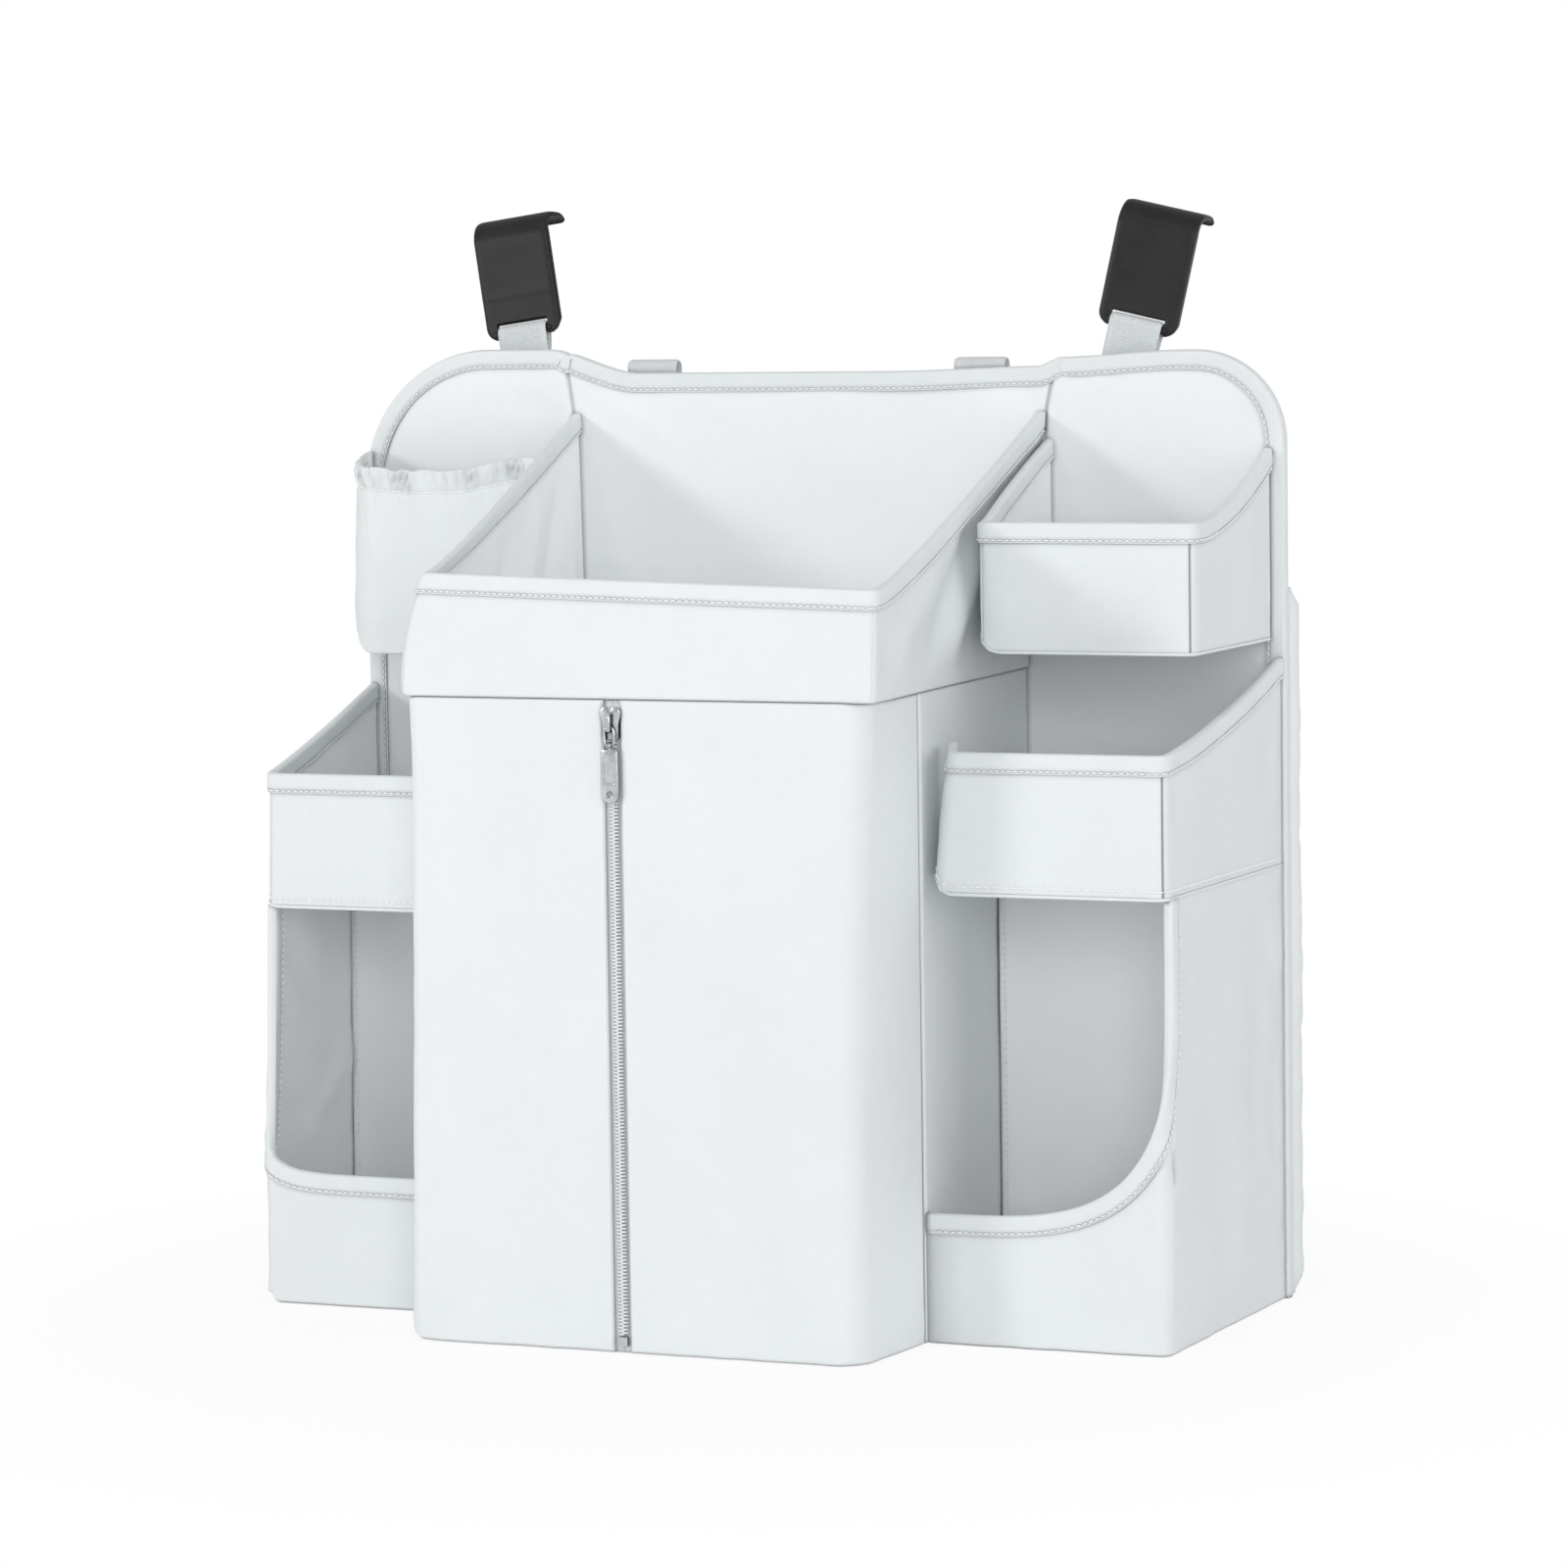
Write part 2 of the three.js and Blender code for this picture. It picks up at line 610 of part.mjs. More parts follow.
function slider() {
  const inner = CHAIN_SPLIT / 2 + CHAIN_WIDTH + CLEARANCE;
  const outer = inner + SLIDER_PLATE;
  const bottom = ZIP_TOP - SLIDER_HEIGHT;
  const plateBack = SLIDER_FRONT_Y + SLIDER_PLATE;
  const flangeBack = TAPE_Y - CLEARANCE;
  const rearPlate = TAPE_Y + TAPE + CLEARANCE;
  const post = CHAIN_SPLIT / 2 - CLEARANCE;
  const crownBack = SLIDER_FRONT_Y;
  const windowDepth = LINK_WIRE + 2 * CLEARANCE;
  const crownFront = crownBack - windowDepth - CROWN_BAR;
  const crown = CROWN_WIDTH / 2;
  const crownTop = CROWN_LOW + CROWN_HEIGHT;
  const overlap = SLIDER_PLATE / 2;
  const width = SLIDER_WIDTH / 2;
  const frontPlateBox = block([-width, SLIDER_FRONT_Y, bottom], [width, plateBack, ZIP_TOP]);
  const flanges = [-1, 1].map((sign) => {
    const xs = [sign * inner, sign * outer].sort((a, b) => a - b);
    return block([xs[0], plateBack - overlap, bottom], [xs[1], flangeBack, ZIP_TOP]);
  });
  const postLow = [-post, plateBack - overlap, ZIP_TOP - SLIDER_POST];
  const pillar = block(postLow, [post, rearPlate + overlap, ZIP_TOP]);
  const rear = block([-outer, rearPlate, bottom], [outer, rearPlate + SLIDER_PLATE, ZIP_TOP]);
  const archBlock = block([-crown, crownFront, CROWN_LOW], [crown, crownBack + overlap, crownTop]);
  const archWindow = block(
    [-CROWN_WIDTH, crownFront + CROWN_BAR, CROWN_LOW + CROWN_BAR],
    [CROWN_WIDTH, crownBack, crownTop - CROWN_BAR],
  );
  const body = join([frontPlateBox, ...flanges, pillar, rear, cut(archBlock, archWindow)]);
  place('zip_slider', 'metal', body.translate(ZIP_X, 0, 0));
}

function pull() {
  const wire = LINK_WIRE / 2;
  const half = LINK_WIDTH / 2;
  const drop = PULL_Z - LINK_Z;
  const rails = [-1, 1].map((sign) => {
    const x = sign * (half - wire);
    const end = wire - CLEARANCE;
    return block([x - wire, -wire, drop - end], [x + wire, wire, end]);
  });
  const bars = [0, drop].map((z) => crossBar(wire, LINK_WIDTH - LINK_WIRE, 0, z));
  const link = join([...rails, ...bars]).translate(ZIP_X, LINK_Y, LINK_Z);
  place('zip_link', 'metal', link);

  const eyeInner = wire + CLEARANCE;
  const eyeOuter = eyeInner + PULL_PLATE / 2;
  const eyeWidth = LINK_WIDTH - 2 * LINK_WIRE - 2 * CLEARANCE;
  const eye = crossBar(eyeOuter, eyeWidth, 0, 0);
  const neckTop = -eyeInner - PULL_PLATE / 4;
  const shoulder = -eyeOuter - CLEARANCE;
  const thick = PULL_PLATE / 2;
  const neck = block([-eyeWidth / 2, -thick, shoulder - thick], [eyeWidth / 2, thick, neckTop]);
  const plate = new THREE.Shape();
  const width = PULL_WIDTH / 2;
  const round = PULL_WIDTH / 3;
  plate.moveTo(-width, shoulder);
  plate.lineTo(-width, round - PULL_LENGTH);
  plate.absarc(round - width, round - PULL_LENGTH, round, Math.PI, 1.5 * Math.PI);
  plate.absarc(width - round, round - PULL_LENGTH, round, 1.5 * Math.PI, 2 * Math.PI);
  plate.lineTo(width, shoulder);
  const hole = new THREE.Path();
  hole.absarc(0, PULL_WIDTH / 2 - PULL_LENGTH, PULL_HOLE / 2, 0, 2 * Math.PI, true);
  plate.holes.push(hole);
  const body = join([eye, neck, frontPlate(plate, -thick, PULL_PLATE)]);
  const tab = cut(body, crossBar(eyeInner, LINK_WIDTH, 0, 0));
  place('zip_pull', 'metal', tab.translate(ZIP_X, LINK_Y, PULL_Z));
}

// Where the side compartments on one side meet the centre compartment.
function boxFace(sign) {
  return sign > 0 ? BOX_RIGHT + CLEARANCE : BOX_LEFT - CLEARANCE;
}

// A side compartment's plan path. The right one runs from the box to the back edge,
// and the left one is its mirror, from the back edge to the box.
function sidePath(sign) {
  const corners = [
    [boxFace(sign), SIDE_FRONT_Y],
    [sign * SIDE_FRONT_X, SIDE_FRONT_Y],
    [sign * SIDE_BACK_X, EDGE_BACK_Y],
  ];
  return planPath(sign > 0 ? corners : corners.reverse(), SIDE_CORNER);
}

// A middle pocket's plan path: the same, but its front turns back before it meets the box.
function midPath(sign) {
  const beside = boxFace(sign) + sign * (BINDING_PROUD + CLEARANCE);
  const corners = [
    [beside, SIDE_FRONT_Y + MID_RETURN],
    [beside + sign * MID_GAP, SIDE_FRONT_Y],
    [sign * SIDE_FRONT_X, SIDE_FRONT_Y],
    [sign * SIDE_BACK_X, EDGE_BACK_Y],
  ];
  return planPath(sign > 0 ? corners : corners.reverse(), SIDE_CORNER);
}

// Lower compartment: one wall round the front and the side, cut away to an open front.
function lowerCompartment({ name, height, sill, power }, sign) {
  const path = sidePath(sign);
  const top = height - CLEARANCE;
  const corner = sign > 0 ? path.breaks[2] : path.length - path.breaks[1];
  const along = (distance) => (sign > 0 ? distance : path.length - distance);
  const opening = Array.from({ length: OPENING_STEPS + 1 }, (_, k) => {
    const angle = ((1 - k / OPENING_STEPS) * Math.PI) / 2;
    const across = Math.cos(angle) ** (2 / power);
    const down = Math.sin(angle) ** (2 / power);
    return { s: along(corner * across), low: 0, high: top - (top - sill) * down };
  });
  const side = { s: along(path.length), low: 0, high: top };
  const list = [...opening, side];
  const ordered = sign > 0 ? list : list.reverse();
  place(`${name}_wall`, 'cloth', wall(path, ordered, PANEL));

  const edge = edgeOf(sign > 0 ? opening : [...opening].reverse());
  const tape = foldedTape((s, z, out) => path.at(s, z, out), edge, PANEL, OPENING_LEG_STEPS);
  place(`${name}_binding`, 'trim', tape);

  const closing = [new THREE.Vector2(boxFace(sign), EDGE_BACK_Y)];
  place(`${name}_floor`, 'cloth', floorInside(path, 0, CLOTH, EDGE_BACK_Y, closing));

  const liningEnd = (LINING_Y - SIDE_FRONT_Y) / (EDGE_BACK_Y - SIDE_FRONT_Y);
  const sideX = SIDE_FRONT_X + liningEnd * SIDE_TAPER - PANEL - 2 * CLEARANCE;
  const xs = [boxFace(sign), sign * sideX].sort((a, b) => a - b);
  const lining = block([xs[0], LINING_Y, CLOTH + CLEARANCE], [xs[1], LINING_Y + CLOTH, top]);
  place(`${name}_back_wall`, 'cloth', lining);
}

// Middle pocket: an open-topped box above a lower compartment, with a rim that climbs to the back.
function midPocket({ name, front, back, power }, base, sign) {
  const path = midPath(sign);
  const rimAt = (y) => {
    const t = THREE.MathUtils.clamp((y - SIDE_FRONT_Y) / SIDE_DEPTH, 0, 1);
    return base + front + (back - front) * t ** power - BINDING_PROUD;
  };
  const rim = (from, to) => columns(path, from, to, () => base, (point) => rimAt(point.y), RIM_STEP);
  const split = cornerOf(path, sign > 0 ? 2 : 1);
  const half = CLEARANCE / 2;
  const before = rim(0, split - half);
  const after = rim(split + half, path.length);
  place(`${name}_front`, 'cloth', wall(path, sign > 0 ? before : after, PANEL));
  place(`${name}_side`, 'cloth', wall(path, sign > 0 ? after : before, PANEL));
  const whole = edgeOf(rim(0, path.length));
  place(`${name}_binding`, 'trim', foldedTape((s, z, out) => path.at(s, z, out), whole, PANEL));
  const closing = [new THREE.Vector2(boxFace(sign), EDGE_BACK_Y)];
  place(`${name}_floor`, 'cloth', floorInside(path, base, CLOTH, EDGE_BACK_Y, closing));
}

// Upper right pocket: a box of its own beside the bin
function upperRightPocket() {
  const frontY = BACK_Y - UPPER_RIGHT_DEPTH;
  const base = BOX_HEIGHT + UPPER_RIGHT_RISE;
  const corners = [
    [BIN_RIGHT + UPPER_RIGHT_GAP.back, INNER_BACK_Y],
    [BIN_RIGHT + UPPER_RIGHT_GAP.front, frontY],
    [SIDE_FRONT_X, frontY],
    [BACK_HALF - UPPER_RIGHT_INSET, EDGE_BACK_Y],
  ];
  const path = planPath(corners, SIDE_CORNER);
  const frontStart = cornerOf(path, 1);
  const sideStart = cornerOf(path, 2);
  const rimAt = ({ y }, s) => {
    const { back, power } = s < frontStart ? UPPER_RIGHT_INNER : UPPER_RIGHT_OUTER;
    const climb = (y - frontY - SIDE_CORNER) / (UPPER_RIGHT_DEPTH - SIDE_CORNER);
    const t = THREE.MathUtils.clamp(climb, 0, 1);
    return base + UPPER_RIGHT_FRONT + (back - UPPER_RIGHT_FRONT) * t ** power - BINDING_PROUD;
  };
  const rim = (from, to) => columns(path, from, to, () => base, rimAt, RIM_STEP);
  const half = CLEARANCE / 2;
  place('upper_right_inner_side', 'cloth', wall(path, rim(0, frontStart - half), PANEL));
  place('upper_right_front', 'cloth', wall(path, rim(frontStart + half, sideStart - half), PANEL));
  place('upper_right_side', 'cloth', wall(path, rim(sideStart + half, path.length), PANEL));
  const whole = edgeOf(rim(0, path.length));
  place('upper_right_binding', 'trim', foldedTape((s, z, out) => path.at(s, z, out), whole, PANEL));
  place('upper_right_floor', 'cloth', floorInside(path, base, CLOTH, EDGE_BACK_Y));
}

// Upper left pocket: soft cloth gathered by an elastic in its hem
function upperLeftPocket() {
  const inner = BIN_LEFT - UPPER_LEFT_GAP;
  const frontY = BACK_Y - UPPER_LEFT_DEPTH;
  const base = BOX_HEIGHT + UPPER_LEFT_RISE;
  const top = base + UPPER_LEFT_HEIGHT;
  const corners = [
    [-SIDE_BACK_X, EDGE_BACK_Y],
    [-SIDE_FRONT_X, frontY],
    [inner, frontY],
  ];
  const path = planPath(corners, UPPER_LEFT_CORNER);
  const count = GATHERS * STEPS_PER_GATHER;
  const list = Array.from({ length: count + 1 }, (_, k) => ({
    s: (path.length * k) / count,
    low: base,
    high: top,
  }));
  const gather = (s, z) => {
    const ends = Math.sin((Math.PI * s) / path.length);
    const rise = THREE.MathUtils.smoothstep(z, base, top);
    return GATHER_RELIEF * ends * rise * Math.sin((2 * Math.PI * GATHERS * s) / path.length);
  };
  const soft = { rows: GATHER_ROWS, relief: gather };
  place('upper_left_pocket', 'cloth', wall(path, list, CLOTH, soft));
  const band = list.slice(STEPS_PER_GATHER, -STEPS_PER_GATHER).map(({ s }) => {
    const low = top - HEM;
    return { s, low, high: low + ELASTIC_WIDTH };
  });
  const inset = { offset: -CLOTH - CLEARANCE, relief: (s) => gather(s, top) };
  place('upper_left_elastic', 'elastic', wall(path, band, ELASTIC, inset));
  const closing = [new THREE.Vector2(inner, EDGE_BACK_Y)];
  place('upper_left_floor', 'cloth', floorInside(path, base, CLOTH, EDGE_BACK_Y, closing));
}

// A half circle over the origin, from the front to the back, in Y and Z.
function halfTurn(radius) {
  return Array.from({ length: TURN_STEPS + 1 }, (_, k) => {
    const angle = Math.PI - (Math.PI * k) / TURN_STEPS;
    return new THREE.Vector2(radius * Math.cos(angle), radius * Math.sin(angle));
  });
}

// Webbing that comes up, turns over a round bar and comes back down against itself.
// The bar is at the origin, and the long leg is in front of it.
function webbingOverBar(bar, thickness, long, short) {
  const turn = bar + CLEARANCE + thickness / 2;
  const beside = -turn + thickness + CLEARANCE;
  const centre = [
    new THREE.Vector2(-turn, -long),
    ...halfTurn(turn),
    new THREE.Vector2(beside, -short / 2),
    new THREE.Vector2(beside, -short),
  ];
  return strip(centre, thickness);
}

// A strip of even thickness along a line of points, as a flat outline.
function strip(centre, thickness) {
  const sides = [1, -1].map((sign) =>
    centre.map((point, i) => {
      const into = centre[Math.max(i, 1)].clone().sub(centre[Math.max(i, 1) - 1]).normalize();
      const next = Math.min(i, centre.length - 2);
      const away = centre[next + 1].clone().sub(centre[next]).normalize();
      const along = into.clone().add(away).normalize();
      const reach = thickness / 2 / along.dot(into);
      return new THREE.Vector2(point.x - sign * reach * along.y, point.y + sign * reach * along.x);
    }),
  );
  return new THREE.Shape([...sides[0], ...sides[1].reverse()]);
}

function hookGeometry() {
  const half = HOOK_PLATE / 2;
  const top = HOOK_HEIGHT - half;
  const bend = HOOK_BEND - half;
  const curl = THREE.MathUtils.degToRad(HOOK_CURL);
  const rear = HOOK_DEPTH - half - HOOK_BEND * Math.sin(curl);
  const centre = [new THREE.Vector2(0, 0)];
  const arc = (y, first, sweep) => {
    for (let k = 0; k <= ARC_STEPS; k += 1) {
      const angle = first - sweep * (k / ARC_STEPS);
      centre.push(new THREE.Vector2(y + bend * Math.cos(angle), top - bend + bend * Math.sin(angle)));
    }
  };
  arc(bend, Math.PI, Math.PI / 2);
  arc(rear, Math.PI / 2, curl);
  const plate = sidePlate(strip(centre, HOOK_PLATE), HOOK_WIDTH);
  const slotHalf = WEBBING_WIDTH / 2 + 2 * CLEARANCE;
  const slot = block([-slotHalf, -HOOK_PLATE, -HOOK_PLATE], [slotHalf, HOOK_PLATE, HOOK_SLOT]);
  const bar = crossBar(HOOK_BAR, HOOK_WIDTH, 0, 0);
  const flanges = [-HOOK_WIDTH / 2, HOOK_WIDTH / 2 - HOOK_FLANGE.thickness].map((x) =>
    block([x, -half, 0], [x + HOOK_FLANGE.thickness, HOOK_FLANGE.depth - half, top - bend]),
  );
  return join([cut(plate, slot), bar, ...flanges]);
}

function adjusterGeometry() {
  const half = ADJUSTER_HEIGHT / 2;
  const inner = WEBBING_WIDTH / 2 + 2 * CLEARANCE;
  const outer = inner + ADJUSTER_RAIL;
  const near = WEBBING / 2 + CLEARANCE;
  const barY = -near - TAB_WEBBING - CLEARANCE - ADJUSTER_BAR;
  const rear = near + ADJUSTER_CROSSBAR;
  const rails = [-1, 1].map((sign) => {
    const xs = [sign * inner, sign * outer].sort((a, b) => a - b);
    return block([xs[0], barY - ADJUSTER_BAR, -half], [xs[1], rear, half]);
  });
  const crossbars = [-1, 1].map((sign) => {
    const zs = [sign * half, sign * (half - ADJUSTER_RAIL)].sort((a, b) => a - b);
    return block([-outer, near, zs[0]], [outer, rear, zs[1]]);
  });
  const bar = crossBar(ADJUSTER_BAR, 2 * inner + ADJUSTER_RAIL, barY, 0);
  return join([...rails, ...crossbars, bar]);
}

// Hanging straps: the webbing holds the hook in a sewn loop, runs through an adjuster that a tab
// sews to the back, and its tail tucks into the rear sleeve.
function hangingStraps() {
  const turn = HOOK_BAR + CLEARANCE + WEBBING / 2;
  const tabStack = 2 * (TAB_WEBBING + CLEARANCE + ADJUSTER_BAR);
  const strapY = REAR_Y + CLEARANCE + tabStack + CLEARANCE + WEBBING / 2;
  const tabBarY = -WEBBING / 2 - CLEARANCE - TAB_WEBBING - CLEARANCE - ADJUSTER_BAR;
  for (const [{ side, inset, splay }, sign] of [[STRAP_LEFT, -1], [STRAP_RIGHT, 1]]) {
    const frame = new THREE.Group();
    frame.position.set(sign * (BACK_HALF - inset), strapY + turn, BACK_HEIGHT + HOOK_RISE);
    frame.rotation.y = sign * THREE.MathUtils.degToRad(splay);
    organizer.add(frame);
    const webbing = webbingOverBar(HOOK_BAR, WEBBING, STRAP_TAIL, STRAP_RETURN);
    place(`strap_${side}`, 'webbing', sidePlate(webbing, WEBBING_WIDTH), frame);
    place(`hook_${side}`, 'black', hookGeometry(), frame);
    const fixed = new THREE.Group();
    fixed.position.set(0, -turn, -ADJUSTER_DROP);
    frame.add(fixed);
    place(`adjuster_${side}`, 'grey', adjusterGeometry(), fixed);
    const tab = webbingOverBar(ADJUSTER_BAR, TAB_WEBBING, TAB_LENGTH, TAB_RETURN);
    const tabWidth = WEBBING_WIDTH - ADJUSTER_RAIL;
    const tabLoop = sidePlate(tab, tabWidth).translate(0, tabBarY, 0);
    place(`adjuster_tab_${side}`, 'webbing', tabLoop, fixed);
  }
}

// Rear loops: webbing folded over and sewn to the back at both ends.
function tieLoops() {
  const turn = TIE_BEND + WEBBING / 2;
  const y = REAR_Y + BINDING_PROUD + CLEARANCE + WEBBING / 2 + turn;
  for (const [side, sign] of [['left', -1], ['right', 1]]) {
    const top = backTop(TIE_X) + TIE_PEEK - turn - WEBBING / 2;
    const foot = [-turn, turn].map((x) => new THREE.Vector2(x, -TIE_LENGTH));
    const centre = [foot[0], ...halfTurn(turn), foot[1]];
    const loop = sidePlate(strip(centre, WEBBING), WEBBING_WIDTH);
    place(`tie_loop_${side}`, 'webbing', loop.translate(sign * TIE_X, y, top));
  }
}

backPanel();
rearSleeve();
bin();
box();
zip();
slider();
pull();
upperRightPocket();
midPocket(MID_RIGHT, LOWER_RIGHT.height, 1);
lowerCompartment(LOWER_RIGHT, 1);
upperLeftPocket();
midPocket(MID_LEFT, LOWER_LEFT.height, -1);
lowerCompartment(LOWER_LEFT, -1);
hangingStraps();
tieLoops();

export default organizer;
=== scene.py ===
"""Crib rail organizer: the cloth, tapes, stitching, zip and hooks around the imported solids."""

import math

import bmesh
import bpy
import numpy as np
from mathutils import Matrix, Vector


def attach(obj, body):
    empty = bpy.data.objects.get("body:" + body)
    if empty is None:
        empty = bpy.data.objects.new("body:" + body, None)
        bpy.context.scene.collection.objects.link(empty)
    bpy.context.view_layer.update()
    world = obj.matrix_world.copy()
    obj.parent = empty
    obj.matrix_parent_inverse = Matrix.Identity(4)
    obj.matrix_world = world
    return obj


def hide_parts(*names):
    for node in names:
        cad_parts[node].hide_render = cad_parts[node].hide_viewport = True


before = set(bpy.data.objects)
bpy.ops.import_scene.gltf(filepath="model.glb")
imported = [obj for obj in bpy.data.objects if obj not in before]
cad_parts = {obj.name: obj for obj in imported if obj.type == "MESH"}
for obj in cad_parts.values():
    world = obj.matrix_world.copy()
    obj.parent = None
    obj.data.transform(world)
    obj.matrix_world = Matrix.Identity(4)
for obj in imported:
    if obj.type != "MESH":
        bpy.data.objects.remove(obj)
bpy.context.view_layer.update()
MM = 0.001

# Sizes in millimetres, the same as the solids have
CLEARANCE, PANEL, CLOTH = 0.3, 2.0, 1.2
BINDING, BINDING_WIDTH = 0.9, 8.0
PROUD = CLEARANCE + BINDING
BACK_HALF, BACK_HEIGHT, CORNER_LEFT, CORNER_RIGHT = 230.0, 436.5, 66.0, 42.0
BACK_DIP, WING_INNER, WING_OUTER = 11.5, 86.0, 134.0
RIGHT_STEPS = ((40.0, 74.0, 1.9), (113.0, 10.0, 4.0), (122.0, 60.0, 2.9))
RIGHT_RISE = sum(rise for start, reach, rise in RIGHT_STEPS)
BACK_Y, FRONT_Y, BACK_THICK = 102.5, -102.5, 5.0
REAR_Y = BACK_Y + BACK_THICK
INNER_BACK_Y, EDGE_BACK_Y = BACK_Y - CLEARANCE, BACK_Y - PROUD - 2 * CLEARANCE
SLEEVE_HEIGHT, SLEEVE_DEPTH, SLEEVE_CORNER, SLEEVE_HEM = 325.0, 11.0, 5.0, 12.0
BOX_CENTRE, BOX_HALF, BOX_DEPTH, BOX_HEIGHT = -3.0, 109.0, 205.0, 288.0
BOX_CORNER, BOX_SLANT, BOX_SEAM = {"left": 6.0, "right": 13.0}, 4.0, 2.8
BOX_SHIFT_TOP, BOX_SHIFT_BOTTOM = (-1.9, 0.0, 0.0), (-6.7, 0.0, -6.0)
BOX_SOFT, BOX_ROUND = {"left": 0.6, "right": 4.0}, 9.0
BOX_LEFT, BOX_RIGHT = BOX_CENTRE - BOX_HALF, BOX_CENTRE + BOX_HALF
BIN_FRONT_LEFT, BIN_FRONT_RIGHT, BIN_BACK, BIN_RIM_POWER, BIN_CORNER = 55.0, 49.0, 118.5, 1.1, 4.0
BIN_LEFT, BIN_RIGHT = BOX_LEFT - 5.0, BOX_RIGHT + 1.0
BIN_CENTRE, BIN_HALF = (BIN_LEFT + BIN_RIGHT) / 2, (BIN_RIGHT - BIN_LEFT) / 2
BIN_LEAN_LEFT, BIN_LEAN_RIGHT, BIN_ROUND = (-13.0, 2.0), (1.0, 8.5), 5.0
SIDE_DEPTH, SIDE_CORNER, SIDE_BACK_X, SIDE_FRONT_X = 145.0, 6.0, 228.0, 217.5
SIDE_FRONT_Y, LINING_Y = BACK_Y - SIDE_DEPTH, BACK_Y - 45.0
MID_RETURN, MID_GAP, MID_SLANT, PIPING = 22.0, 8.0, 4.2, 0.8
LEFT_SPREAD, LEFT_SPREAD_HEIGHT = 4.0, 245.0
# Right (1) and left (-1) lower compartment: height, sill and the power of the opening's curve
LOWER = {1: (200.0, 57.0, 3.8), -1: (185.0, 60.0, 10.0)}
# Right and left middle pocket: the rim's height at the front and at the back, and the power of its curve
MID = {1: (62.5, 95.0, 1.4), -1: (61.5, 92.0, 1.15)}
MID_ROUND, LOWER_ROUND, UPPER_RIGHT_ROUND, UPPER_LEFT_ROUND = {1: 8.0, -1: 7.0}, 4.0, 10.0, 11.0
UPPER_RIGHT = {"floor": 303.0, "depth": 102.0, "front": 57.5, "inset": 6.5}
UPPER_RIGHT_GAP, UPPER_RIGHT_INNER, UPPER_RIGHT_OUTER = (11.0, 10.0), (91.0, 0.85), (87.5, 1.55)
UPPER_LEFT = {"floor": 294.0, "depth": 45.0, "height": 89.0, "corner": 18.0, "gap": 1.0}
HEM, ELASTIC_WIDTH, ELASTIC = 10.0, 6.0, 1.0
ZIP_X, ZIP_SLOT, ZIP_TOP, ZIP_STRAIGHT = -15.0, 8.0, 285.0, 265.0
TAPE_Y, TAPE, TAPE_WIDTH = -100.2, 0.6, 12.0
CHAIN_Y, CHAIN_LOW, ZIP_STITCH, COIL_PITCH = -102.7, 7.3, 4.6, 1.55
SLIDER_FRONT_Y, LINK_Y, LINK_Z, PULL_Z = -104.0, -105.0, 276.1, 268.5
WEBBING_WIDTH, WEBBING, TAB_WEBBING = 25.0, 1.6, 1.0
HOOK_WIDTH, HOOK_PLATE, HOOK_HEIGHT, HOOK_DEPTH = 38.0, 2.6, 55.0, 28.0
HOOK_BEND, HOOK_CURL, HOOK_BAR, HOOK_SLOT, HOOK_FLANGE = 11.0, 55.0, 2.0, 5.4, 4.6
HOOK_FOOT, HOOK_FOOT_CORNER, HOOK_TIP_CORNER, HOOK_TAPER = 2.6, 6.0, 3.0, 15.0
HOOK_SLOT_HALF, HOOK_FLANGE_WIDTH = WEBBING_WIDTH / 2 + 0.6, 1.44
ADJUSTER_BAR, ADJUSTER_DROP, TAB_LONG, TAB_SHORT = 1.2, 62.0, 38.0, 20.0
STRAPS = {"left": (-151.0, -8.0), "right": (156.0, 13.0)}
STRAP_Y, STRAP_TOP, STRAP_TAIL, STRAP_RETURN = 117.0, 445.0, 175.0, 36.0
TIE_X, TIE_LENGTH, TIE_BEND, TIE_PEEK = 82.0, 42.0, 2.4, 5.0


# Camera at the photograph's viewing angle
def place_camera():
    """A long lens with the photograph's direction, height and roll."""
    azimuth, elevation, roll = math.radians(21.5), math.radians(5.6), math.radians(-0.9)
    distance, target = 2440.0, np.array([20.0, 12.5, 241.0])
    level = np.array([math.cos(azimuth), math.sin(azimuth), 0.0])
    ahead = np.array([math.sin(azimuth), -math.cos(azimuth), 0.0])
    back = ahead * math.cos(elevation) + np.array([0.0, 0.0, math.sin(elevation)])
    upright = np.cross(level, -back)
    right = math.cos(roll) * level + math.sin(roll) * upright
    up = -math.sin(roll) * level + math.cos(roll) * upright
    where = (target + back * distance) * MM
    data = bpy.data.cameras.new("camera")
    data.lens, data.sensor_width = 123.75, 36.0
    data.clip_start, data.clip_end = 0.05, 50.0
    camera = bpy.data.objects.new("camera", data)
    camera.matrix_world = Matrix([[right[i], up[i], back[i], where[i]] for i in range(3)] + [[0, 0, 0, 1]])
    bpy.context.scene.collection.objects.link(camera)
    bpy.context.scene.camera = camera


place_camera()


# Small numeric helpers
def ease(t):
    """From 0 to 1 with a soft start and a soft end."""
    t = np.clip(t, 0.0, 1.0)
    return t * t * (3 - 2 * t)


def mix(a, b, t):
    """From a at 0 to b at 1."""
    return a + (b - a) * t


def soft_start(t, bend):
    """From 0 to 1 with a rounded start."""
    return (np.sqrt(t * t + bend * bend) - bend) / (math.sqrt(1 + bend * bend) - bend)


def unit(v):
    """Vectors of length 1 in the same directions."""
    return v / np.maximum(np.linalg.norm(v, axis=-1, keepdims=True), 1e-9)


def bell(t, width):
    """A smooth bump that is 1 at 0 and falls off over the width."""
    return np.exp(-((t / width) ** 2))


def fade(place, start, reach):
    """A mask that is 1 up to start and falls to 0 over reach."""
    return 1 - ease((place - start) / reach)


def within(place, low, high, rise, fall):
    """A mask that rises from 0 at low, falls to 0 at high, and is 1 between."""
    return ease((place - low) / rise) * ease((high - place) / fall)


